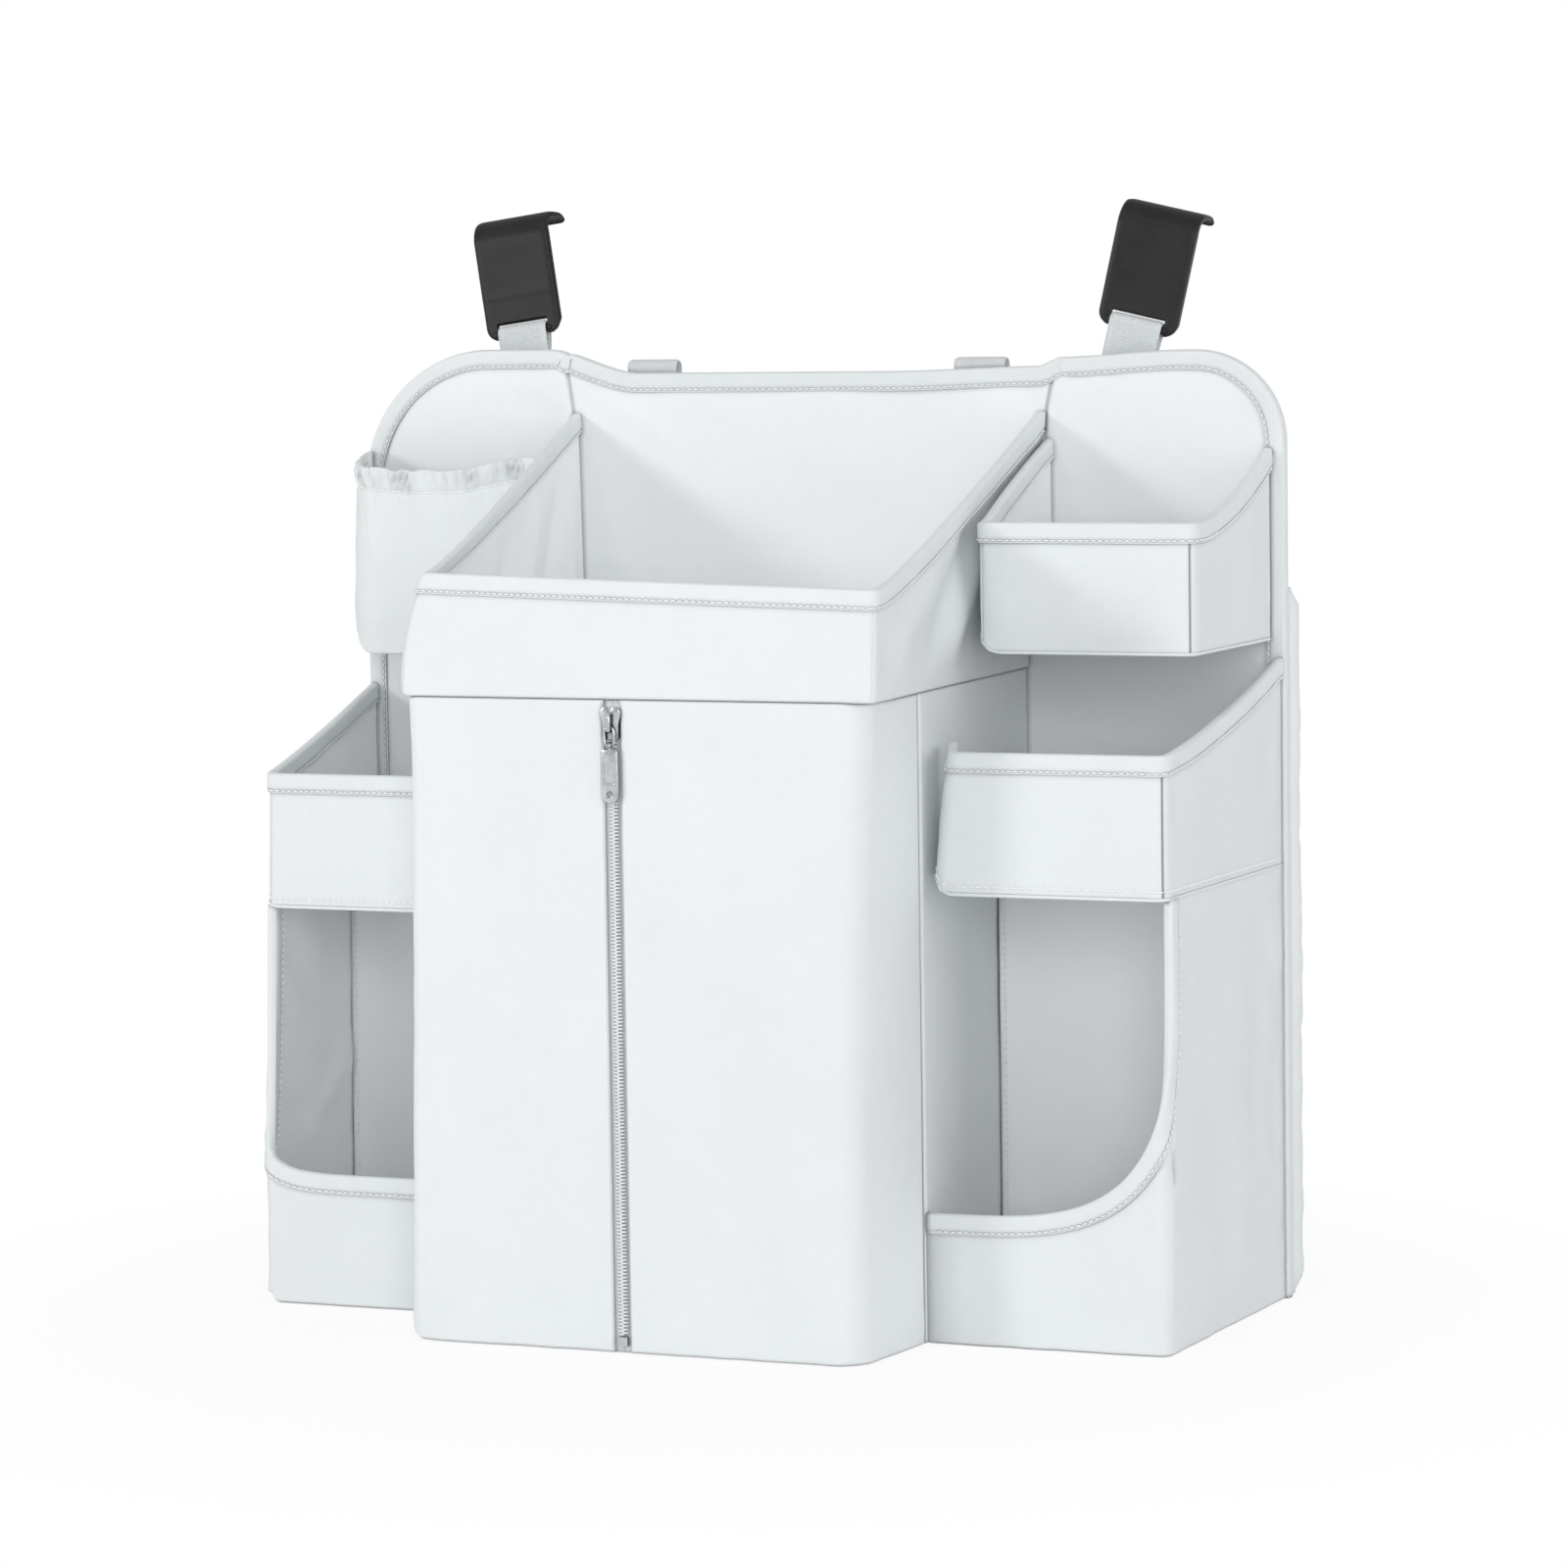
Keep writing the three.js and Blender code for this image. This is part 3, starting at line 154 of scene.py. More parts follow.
def hold(place, spots, reach):
    """A mask that is 0 at the given places and 1 beyond reach from them."""
    near = np.min([np.abs(place - spot) for spot in spots], axis=0)
    return ease(near / reach)


def grid(rows, columns):
    """Two arrays with the row's and the column's value for each pair."""
    return np.meshgrid(rows, columns, indexing="ij")


def distances(line):
    """How far along a line each of its points lies."""
    return np.concatenate([[0], np.cumsum(np.linalg.norm(np.diff(line, axis=0), axis=1))])


def moved(place, across, up=0.0):
    """Points moved along X and Z."""
    across, up = np.broadcast_arrays(across, up)
    return place + np.stack([across, 0 * across, up], -1)


def arc_line(centre, radius, first, last, steps):
    """Points on an arc between two angles."""
    angle = np.linspace(first, last, steps)
    return np.stack([centre[0] + radius * np.cos(angle), centre[1] + radius * np.sin(angle)], -1)


def ring_line(centre, radius, steps):
    """Points on a whole circle, without the first one again at the end."""
    return arc_line(centre, radius, 0, 2 * math.pi, steps + 1)[:-1]


LATTICE = 64


def field(x, y, seed):
    """Smooth noise from -1 to 1 on a seeded lattice."""
    table = np.random.default_rng(seed).uniform(-1, 1, (LATTICE, LATTICE))
    x, y = np.broadcast_arrays(np.asarray(x, float), np.asarray(y, float))
    i, j = np.floor(x).astype(int), np.floor(y).astype(int)
    u, v = (t ** 3 * (t * (t * 6 - 15) + 10) for t in (x - i, y - j))
    left, right, below, above = (k % LATTICE for k in (i, i + 1, j, j + 1))
    low = mix(table[left, below], table[right, below], u)
    high = mix(table[left, above], table[right, above], u)
    return mix(low, high, v)


# Broad waves, folds and fine puckers: depth, length along the cloth and length up it
WRINKLES = ((0.8, 58, 80), (0.5, 22, 50), (0.14, 9, 14))


def wrinkle(s, z, seed, amount, lean=0.0):
    """The unevenness of sewn cloth, which may lean to one side."""
    t = s + lean * z
    layers = (depth * field(t / along, z / up, seed + k) for k, (depth, along, up) in enumerate(WRINKLES))
    return amount * sum(layers)


CREASE_FADE = 0.3


def crease(s, z, start, end, width, depth):
    """A soft fold along a line from start to end, each (s, z), that fades at both ends."""
    (s0, z0), (s1, z1) = start, end
    length = math.hypot(s1 - s0, z1 - z0)
    along = ((s - s0) * (s1 - s0) + (z - z0) * (z1 - z0)) / length
    across = ((s - s0) * (z1 - z0) - (z - z0) * (s1 - s0)) / length
    fading = CREASE_FADE * length
    return depth * within(along, 0, length, fading, fading) * bell(across, width)


def creases(s, z, lines):
    """Several soft folds, each (start, end, width, depth)."""
    return sum(crease(s, z, *line) for line in lines)


# Gaps of the points near an edge, and how many times as long as a gap a stretch has to be
EDGE_GAPS, EDGE_ROOM = (0.0, 0.5, 1.1, 2.0, 3.2), 2.2


def spread(a, b, step):
    """Places from a to b, closer together at both ends."""
    length = b - a
    fine = np.array([gap for gap in EDGE_GAPS if gap < length / EDGE_ROOM])
    count = max(2, int(round((length - 2 * fine[-1]) / step)) + 1)
    inner = np.linspace(fine[-1], length - fine[-1], count)
    return a + np.concatenate([fine[:-1], inner, length - fine[:-1][::-1]])


# Meshes
def make(name, points, faces, material, body="caddy", stands_for=(), uv=None):
    """A mesh piece from points in millimetres, which rides on a body and may stand for solids."""
    mesh = bpy.data.meshes.new(name)
    mesh.from_pydata((np.asarray(points, float) * MM).tolist(), [], faces)
    if uv is not None:
        layer = mesh.uv_layers.new(name="UVMap")
        index = np.empty(len(mesh.loops), np.int32)
        mesh.loops.foreach_get("vertex_index", index)
        layer.data.foreach_set("uv", np.asarray(uv, np.float32)[index].ravel())
    edit = bmesh.new()
    edit.from_mesh(mesh)
    bmesh.ops.recalc_face_normals(edit, faces=edit.faces)
    edit.to_mesh(mesh)
    edit.free()
    mesh.polygons.foreach_set("use_smooth", [True] * len(mesh.polygons))
    mesh.materials.append(material)
    piece = bpy.data.objects.new(name, mesh)
    bpy.context.scene.collection.objects.link(piece)
    return dress(piece, body, stands_for)


def dress(piece, body, stands_for):
    """Sets a piece on its body, and hides the solids that it stands for."""
    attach(piece, body)
    if stands_for:
        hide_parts(*stands_for)
    return piece


def soften(piece, width, angle):
    """Rounds a piece's edges that are sharper than an angle in degrees."""
    bevel = piece.modifiers.new("soft_edges", "BEVEL")
    bevel.width, bevel.segments = width * MM, 2
    bevel.limit_method, bevel.angle_limit = "ANGLE", math.radians(angle)


def grid_faces(n, m):
    """Faces of a grid with n rows and m columns of points, as point numbers."""
    index = np.arange(n * m).reshape(n, m)
    return np.stack([index[:-1, :-1], index[1:, :-1], index[1:, 1:], index[:-1, 1:]], -1)


def ring_faces(rings):
    """Faces between rings of point numbers: the last axis goes round, and the one before it along."""
    after = np.roll(rings, -1, axis=-1)
    corners = [rings[..., :-1, :], after[..., :-1, :], after[..., 1:, :], rings[..., 1:, :]]
    return np.stack(corners, -1).reshape(-1, 4).tolist()


RIM_ROUND = 0.35


def sheet_mesh(outer, inner, uv):
    """Points, faces and UVs of a sheet between two grids, with a rounded rim."""
    n, m = outer.shape[:2]
    quads = grid_faces(n, m).reshape(-1, 4)
    rim = [(i, 0) for i in range(n)] + [(n - 1, j) for j in range(1, m)]
    rim += [(i, m - 1) for i in range(n - 2, -1, -1)] + [(0, j) for j in range(m - 2, 0, -1)]
    i, j = np.array(rim).T
    near = outer[np.clip(i, 1, n - 2), np.clip(j, 1, m - 2)]
    thick = np.linalg.norm(outer[i, j] - inner[i, j], axis=-1, keepdims=True)
    middle = (outer[i, j] + inner[i, j]) / 2 + unit(outer[i, j] - near) * thick * RIM_ROUND
    top, mid = i * m + j, 2 * n * m + np.arange(len(rim))
    next_top, next_mid = np.roll(top, -1), np.roll(mid, -1)
    upper = np.stack([top, next_top, next_mid, mid], -1)
    lower = np.stack([mid, next_mid, next_top + n * m, top + n * m], -1)
    faces = np.concatenate([quads, quads[:, ::-1] + n * m, upper, lower]).tolist()
    points = np.concatenate([outer.reshape(-1, 3), inner.reshape(-1, 3), middle])
    flat = uv.reshape(-1, 2)
    return points, faces, np.concatenate([flat, flat, flat[top]])


def tube_mesh(centre, radius, sides, closed=False, up=(0, 0, 1)):
    """Points and faces of a round tube along a line of points."""
    centre = np.asarray(centre, float)
    count = len(centre)
    radius = np.broadcast_to(np.asarray(radius, float), (count,))
    if closed:
        along = unit(np.roll(centre, -1, 0) - np.roll(centre, 1, 0))
    else:
        along = unit(np.gradient(centre, axis=0))
    side = unit(np.cross(along, np.broadcast_to(np.asarray(up, float), along.shape)))
    over = np.cross(side, along)
    angle = np.arange(sides) * 2 * math.pi / sides
    ring = np.cos(angle)[:, None] * side[:, None] + np.sin(angle)[:, None] * over[:, None]
    points = (centre[:, None] + radius[:, None, None] * ring).reshape(-1, 3)
    rings = np.arange(count * sides).reshape(count, sides)
    if closed:
        return points, ring_faces(np.concatenate([rings, rings[:1]]))
    return points, ring_faces(rings) + rings[[0, -1]].tolist()


def lay_sheet(name, outer, inner, across, along, look, stands_for=()):
    """A cloth piece between two grids of points, with UVs in millimetres."""
    points, faces, uv = sheet_mesh(outer, inner, np.stack([across, along], -1))
    return make(name, points, faces, look, stands_for=stands_for, uv=uv)


def gather_meshes(parts):
    """Several meshes as one list of points and faces."""
    points, faces, base = [], [], 0
    for part_points, part_faces in parts:
        points.append(np.asarray(part_points, float))
        faces += [[i + base for i in face] for face in part_faces]
        base += len(part_points)
    return np.concatenate(points), faces


def box_mesh(low, high):
    """Points and faces of a box between two corners."""
    (x0, y0, z0), (x1, y1, z1) = low, high
    points = [(x, y, z) for z in (z0, z1) for x, y in ((x0, y0), (x1, y0), (x1, y1), (x0, y1))]
    faces = [[3, 2, 1, 0], [4, 5, 6, 7]] + [[k, (k + 1) % 4, 4 + (k + 1) % 4, 4 + k] for k in range(4)]
    return np.array(points, float), faces


def flat_plate(outlines, y, depth, bevel):
    """Points and faces of a flat plate drawn in X and Z with holes, front face at y, rounded edges."""
    curve = bpy.data.curves.new("plate", "CURVE")
    curve.dimensions, curve.fill_mode = "2D", "BOTH"
    curve.extrude, curve.bevel_depth, curve.bevel_resolution = depth / 2 - bevel, bevel, 2
    for outline in outlines:
        spline = curve.splines.new("POLY")
        spline.points.add(len(outline) - 1)
        spline.use_cyclic_u = True
        for point, (x, z) in zip(spline.points, outline):
            point.co = (x, z, 0, 1)
    holder = bpy.data.objects.new("plate", curve)
    bpy.context.scene.collection.objects.link(holder)
    mesh = bpy.data.meshes.new_from_object(holder.evaluated_get(bpy.context.evaluated_depsgraph_get()))
    edit = bmesh.new()
    edit.from_mesh(mesh)
    bmesh.ops.remove_doubles(edit, verts=edit.verts, dist=1e-4)
    points = [(v.co.x, y + depth / 2 - v.co.z, v.co.y) for v in edit.verts]
    faces = [[v.index for v in f.verts] for f in edit.faces]
    edit.free()
    bpy.data.objects.remove(holder)
    bpy.data.curves.remove(curve)
    return np.array(points, float), faces


def smooth_loop(corners, steps):
    """A closed smooth line through corners, each (x, z)."""
    p = np.asarray(corners, float)
    t = np.linspace(0, 1, steps, endpoint=False)[:, None]
    before, here, after, later = np.roll(p, 1, 0), p, np.roll(p, -1, 0), np.roll(p, -2, 0)
    line = []
    for a, b, c, d in zip(before, here, after, later):
        line.append(0.5 * (2 * b + (c - a) * t + (2 * a - 5 * b + 4 * c - d) * t ** 2
                           + (3 * b - a - 3 * c + d) * t ** 3))
    return np.concatenate(line)


# Walls that follow a line in plan
class Plan:
    """Straights joined by arcs that turn left, with the outer face on the right."""

    def __init__(self, corners, radius=0.0):
        points = [np.array(c, float) for c in corners]
        self.parts, self.length = [], 0.0
        start = points[0]
        for before, corner, after in zip(points, points[1:], points[2:]):
            into, away = unit(corner - before), unit(after - corner)
            turn = math.acos(np.clip(into @ away, -1, 1))
            setback = radius * math.tan(turn / 2)
            first = corner - into * setback
            centre = first + radius * np.array([-into[1], into[0]])
            self._add(float(np.linalg.norm(first - start)), ("line", start, into))
            angle = math.atan2(*(first - centre)[::-1])
            self._add(radius * turn, ("arc", centre, radius, angle))
            start = corner + away * setback
        self._add(float(np.linalg.norm(points[-1] - start)), ("line", start, unit(points[-1] - start)))
        self.breaks = [part[0] for part in self.parts]

    def corner(self, count):
        """The middle of one of the corners, counted from 1."""
        return (self.breaks[2 * count - 1] + self.breaks[2 * count]) / 2

    def _add(self, size, shape):
        self.parts.append((self.length, size, shape))
        self.length += size

    def at(self, s):
        """The point and the outward direction at each distance along the plan."""
        s = np.asarray(s, float)
        point, out = np.zeros(s.shape + (2,)), np.zeros(s.shape + (2,))
        for k, (start, size, shape) in enumerate(self.parts):
            here = np.ones(s.shape, bool) if k == 0 else s >= start
            t = (s[here] - start)[:, None]
            if shape[0] == "line":
                _, origin, along = shape
                point[here] = origin + along * t
                out[here] = (along[1], -along[0])
            else:
                _, centre, radius, first = shape
                angle = first + t[:, 0] / radius
                out[here] = np.stack([np.cos(angle), np.sin(angle)], -1)
                point[here] = centre + radius * out[here]
        return point, out

    def stations(self, s0, s1, step):
        """Distances along the plan from s0 to s1, with more of them in its arcs."""
        places = [spread(s0, s1, step)]
        for start, size, shape in self.parts:
            if shape[0] == "arc":
                places.append(np.linspace(start, start + size, 9))
        every = np.sort(np.concatenate(places))
        every = every[(every >= s0) & (every <= s1)]
        keep = np.concatenate([[True], np.diff(every) > 0.2])
        keep[-1] = True
        every = every[keep]
        return np.concatenate([every[:-1][np.abs(every[:-1] - s1) > 0.2], [s1]])


class Skin:
    """A wall's surface: a point is (s along the plan, height z, distance out)."""

    def __init__(self, plan, relief=None, warp=None):
        self.plan, self.relief, self.warp = plan, relief, warp

    def put(self, s, z, out):
        s, z, out = np.broadcast_arrays(*(np.asarray(v, float) for v in (s, z, out)))
        point, normal = self.plan.at(s)
        away = out + (self.relief(s, z) if self.relief else 0.0)
        plan = point + normal * away[..., None]
        place = np.stack([plan[..., 0], plan[..., 1], z], -1)
        return self.warp(place) if self.warp else place


class Face:
    """The back panel's surface: a point is (x, height z, distance out of the front or the rear)."""

    def __init__(self, y, sign, relief=None):
        self.y, self.sign, self.relief = y, sign, relief

    def put(self, x, z, out):
        x, z, out = np.broadcast_arrays(*(np.asarray(v, float) for v in (x, z, out)))
        away = out + (self.relief(x, z) if self.relief else 0.0)
        return np.stack([x, self.y + self.sign * away, z], -1)


# How far back rounded corners reach, how far in a tucked edge reaches, and the inner side's share of it
ROUND_DEPTH, TUCK_WIDTH, INNER_TUCK = 45.0, 0.7, 0.35


def round_bottom(edge_x, base, radius, front_y):
    """A warp that rounds a pocket's lower front corner, with the pocket to the right of edge_x."""

    def warp(place):
        x, y, z = np.moveaxis(place, -1, 0)
        near = np.clip(1 - (x - edge_x) / radius, 0, 1)
        lift = radius * (1 - np.sqrt(1 - near ** 2)) * fade(z, base, 4 * radius)
        return moved(place, 0.0, lift * fade(y, front_y, ROUND_DEPTH))

    return warp


def wall(name, skin, s0, s1, low, high, thick, stands_for, tuck=(1.3, 1.3, 1.0, 0.0), look=None, step=4.0):
    """A sewn panel from s0 to s1. Its edges tuck in towards their seams: start, end, bottom and top."""
    s = skin.plan.stations(s0, s1, step)
    low, high = (f(s) if callable(f) else np.full(s.shape, float(f)) for f in (low, high))
    tall = float(np.max(high - low))
    across, share = grid(s, spread(0.0, tall, step) / tall)
    z = low[:, None] + (high - low)[:, None] * share
    gaps = (across - s0, s1 - across, z - low[:, None], high[:, None] - z)
    sink = np.max([depth * fade(gap, 0, TUCK_WIDTH) for depth, gap in zip(tuck, gaps)], axis=0)
    return sew_panel(name, skin, across, z, thick, sink, stands_for, look or CLOTH_LOOK)


def sew_panel(name, skin, across, z, thick, sink, stands_for, look):
    """A panel between two sides that sink in at its seams. Its inner side is a paler copy of the cloth,
    painted light.
    """
    outer, inner = skin.put(across, z, -sink), skin.put(across, z, -thick + INNER_TUCK * sink)
    piece = lay_sheet(name, outer, inner, across, z, look, stands_for=stands_for)
    count = (z.shape[0] - 1) * (z.shape[1] - 1)
    piece.data.materials.append(INSIDE_PAINTED_LIGHT_LOOK)
    for face in piece.data.polygons[count:2 * count]:
        face.material_index = 1
    return piece


def edge_directions(edge):
    """At each point of a line, the direction to its right, mitred, and square at both ends."""
    steps = unit(np.diff(edge, axis=0))
    right = np.stack([steps[:, 1], -steps[:, 0]], -1)
    before = np.concatenate([right[:1], right])
    after = np.concatenate([right, right[-1:]])
    middle = unit(before + after)
    middle = middle / np.sum(middle * before, axis=-1, keepdims=True)
    for k in (0, -1):
        x, y = before[k]
        middle[k] = (1 / x, 0) if abs(x) > abs(y) else (0, 1 / y)
    return middle


STITCH_IN = BINDING_WIDTH - 1.3


def tape_section(thick):
    """The folded tape's outline: (distance out, distance in from the cloth's edge)."""
    out, width = PROUD, BINDING_WIDTH
    leg = [
        (CLEARANCE + 0.1, width), (out - 0.25, width - 0.1), (out - 0.1, width - 0.5),
        (out - 0.5, STITCH_IN + 0.3), (out - 0.55, STITCH_IN), (out - 0.5, STITCH_IN - 0.3),
        (out - 0.02, STITCH_IN - 0.8), (out + 0.12, STITCH_IN - 2.2), (out + 0.12, 1.8), (out + 0.02, 0.3),
    ]
    half, turn = thick / 2 + out, np.linspace(0.15, math.pi - 0.15, 9)
    fold = [(half * math.cos(a) - thick / 2, -out * math.sin(a)) for a in turn]
    back = [(-thick - o, i) for o, i in reversed(leg)]
    inside = [(-thick - CLEARANCE, -CLEARANCE), (CLEARANCE, -CLEARANCE)]
    return np.array(leg + fold + back + inside)


def refine(line, step=3.0):
    """The line's points and more between them, so that no stretch is longer than step."""
    line = np.asarray(line, float)
    places = [line[:1]]
    for a, b in zip(line, line[1:]):
        count = max(1, int(math.ceil(np.linalg.norm(b - a) / step)))
        places.append(a + (b - a) * (np.arange(1, count + 1) / count)[:, None])
    return np.concatenate(places)


def binding(name, skin, edge, thick, stands_for, seed):
    """Tape folded over a cloth edge, with a line of stitches along each leg."""
    edge = refine(edge)
    section = tape_section(thick)
    into = edge_directions(edge)
    place = edge[:, None] + into[:, None] * section[None, :, 1:]
    run = distances(edge)
    ripple = 0.12 * field(run / 6.0, 0.5, seed)[:, None] * (section[None, :, 1] > 1)
    side = np.where(section[:, 0] > -thick / 2, 1.0, -1.0)[None]
    points = skin.put(place[..., 0], place[..., 1], section[None, :, 0] + side * ripple)
    rings = np.arange(points.size // 3).reshape(points.shape[:2])
    faces = ring_faces(rings) + rings[[0, -1]].tolist()
    uv = np.stack(grid(run, distances(section)), -1).reshape(-1, 2)
    make(name, points.reshape(-1, 3), faces, TRIM_LOOK, stands_for=stands_for, uv=uv)
    line, sunk = (edge + into * STITCH_IN)[1:-1], PROUD - 0.12
    stitches(f"{name}_stitches", skin, line, sunk)
    stitches(f"{name}_inner_stitches", skin, line, -thick - sunk, facing=-1)


STITCH_PITCH, STITCH_LENGTH, THREAD = 3.1, 2.2, 0.42
STITCH_SIDES, STITCH_TAPER = 6, np.array([0.6, 0.95, 1.0, 0.95, 0.6])


def stitches(name, skin, line, out, facing=1, pitch=STITCH_PITCH):
    """A line of machine stitches on a surface, each a short thread that dips in at both ends."""
    run = distances(line)
    starts = np.arange(pitch, run[-1] - pitch, pitch)
    t = np.linspace(-1, 1, len(STITCH_TAPER))
    spots = starts[:, None] + t[None] * STITCH_LENGTH / 2
    s, z = (np.interp(spots, run, line[:, k]) for k in (0, 1))
    lift = out + facing * THREAD * (0.5 - 0.9 * t ** 2)[None]
    centre = skin.put(s, z, lift)
    normal = unit(skin.put(s, z, lift + facing) - centre)
    side = unit(np.cross(unit(np.gradient(centre, axis=1)), normal))
    angle = np.arange(STITCH_SIDES) * 2 * math.pi / STITCH_SIDES
    ring = np.cos(angle)[:, None] * side[:, :, None] + np.sin(angle)[:, None] * normal[:, :, None]
    points = centre[:, :, None] + THREAD * STITCH_TAPER[None, :, None, None] * ring
    rings = np.arange(points.size // 3).reshape(points.shape[:3])
    faces = ring_faces(rings) + rings[:, 0].tolist() + rings[:, -1].tolist()
    make(name, points.reshape(-1, 3), faces, THREAD_LOOK)


def piping(name, skin, base):
    """A narrow sewn edge along the bottom seam of a pocket."""
    line = refine([(1.0, base - 0.1), (skin.plan.length - 1.0, base - 0.1)], 4.0)
    points, faces = tube_mesh(skin.put(line[:, 0], line[:, 1], -0.2), PIPING, 8)
    make(name, points, faces, TRIM_LOOK)


def row_ends(outline, rows):
    """Where rows along X enter and leave a convex outline."""
    after = np.roll(outline, -1, axis=0)
    a, b = outline[:, 1], after[:, 1]
    ends = []
    for y in np.clip(rows, rows[0] + 1e-3, rows[-1] - 1e-3):
        hit = (np.minimum(a, b) <= y) & (y <= np.maximum(a, b)) & (np.abs(a - b) > 1e-9)
        x = outline[hit, 0] + (after[hit, 0] - outline[hit, 0]) * (y - a[hit]) / (b - a)[hit]
        ends.append((x.min(), x.max()))
    return np.array(ends).T[..., None]


def floor_sheet(name, outline, z, thick, stands_for, sag, seed, tuck=0.0, warp=None):
    """A flat cloth floor inside a convex outline."""
    outline = np.asarray(outline, float)
    rows = spread(outline[:, 1].min(), outline[:, 1].max(), 6.0)
    low, high = row_ends(outline, rows)
    wide = float((high - low).max())
    y, share = grid(rows, spread(0.0, wide, 6.0) / wide)
    x = low + (high - low) * share
    edge = np.minimum(np.minimum(x - low, high - x), np.minimum(y - rows[0], rows[-1] - y))
    dip = -sag * (0.6 + 0.4 * field(x / 40, y / 40, seed)) * ease(edge / 25)
    round_off = tuck * fade(edge, 0, TUCK_WIDTH)
    top = np.stack([x, y, z + thick + dip - 0.3 * round_off], -1)
    under = np.stack([x, y, z + round_off], -1)
    if warp:
        top, under = warp(top), warp(under)
    lay_sheet(name, top, under, x, y, CLOTH_LOOK, stands_for=stands_for)


def inner_outline(plan, s, back_y, closing=()):
    """The plan's line moved in by a wall's thickness, and the points that close it."""
    point, out = plan.at(s)
    inner = point - out * (PANEL + CLEARANCE)
    inner[:, 1] = np.minimum(inner[:, 1], back_y)
    return np.concatenate([inner, np.array(closing, float).reshape(-1, 2)])


# Materials
def material(name):
    made = bpy.data.materials.new(name)
    made.use_nodes = True
    nodes = made.node_tree.nodes
    return made, nodes, made.node_tree.links, nodes["Principled BSDF"]


def math_node(nodes, links, operation, a, b=None):
    node = nodes.new("ShaderNodeMath")
    node.operation = operation
    for socket, value in zip(node.inputs, (a, b)):
        if isinstance(value, (int, float)):
            socket.default_value = value
        elif value is not None:
            links.new(value, socket)
    return node.outputs[0]


def noise_node(nodes, links, coordinates, scale, detail=2.0, roughness=0.5):
    node = nodes.new("ShaderNodeTexNoise")
    node.inputs["Scale"].default_value = scale
    node.inputs["Detail"].default_value = detail
    node.inputs["Roughness"].default_value = roughness
    links.new(coordinates, node.inputs["Vector"])
    return node.outputs["Fac"]


def ramp_node(nodes, links, value, stops):
    node = nodes.new("ShaderNodeValToRGB")
    ramp = node.color_ramp
    while len(ramp.elements) < len(stops):
        ramp.elements.new(0.5)
    for element, (place, color) in zip(ramp.elements, stops):
        element.position, element.color = place, (*color, 1)
    links.new(value, node.inputs["Fac"])
    return node.outputs["Color"]


def range_node(nodes, links, value, low, high, first=0.0, last=1.0):
    node = nodes.new("ShaderNodeMapRange")
    node.inputs["From Min"].default_value, node.inputs["From Max"].default_value = first, last
    node.inputs["To Min"].default_value, node.inputs["To Max"].default_value = low, high
    links.new(value, node.inputs["Value"])
    return node.outputs["Result"]


def bump_node(nodes, links, height, strength, distance):
    node = nodes.new("ShaderNodeBump")
    node.inputs["Strength"].default_value = strength
    node.inputs["Distance"].default_value = distance
    links.new(height, node.inputs["Height"])
    return node.outputs["Normal"]


def sum_node(nodes, links, parts):
    """The sum of several values, each with its share."""
    scaled = [math_node(nodes, links, "MULTIPLY", value, share) for value, share in parts]
    total = scaled[0]
    for value in scaled[1:]:
        total = math_node(nodes, links, "ADD", total, value)
    return total


def edge_wear_and_shade_node(nodes, links):
    """Above 0 on outer edges, which wear pale, and below 0 in hollows, where it paints shade."""
    wear_and_shade = nodes.new("ShaderNodeNewGeometry").outputs["Pointiness"]
    return math_node(nodes, links, "SUBTRACT", wear_and_shade, 0.5)


def connect(links, shader, color, roughness, normal):
    for socket, value in (("Base Color", color), ("Roughness", roughness), ("Normal", normal)):
        links.new(value, shader.inputs[socket])


def painted_gap_shade_node(nodes, links, color, shade):
    """The colour with painted shade: darker in narrow gaps such as seams and the edges of tapes, where shade
    falls.
    """
    node = nodes.new("ShaderNodeAmbientOcclusion")
    node.samples = 6
    node.inputs["Distance"].default_value = 0.0026
    scale = nodes.new("ShaderNodeVectorMath")
    scale.operation = "SCALE"
    links.new(color, scale.inputs["Vector"])
    links.new(range_node(nodes, links, node.outputs["AO"], shade, 1.0), scale.inputs["Scale"])
    return scale.outputs["Vector"]


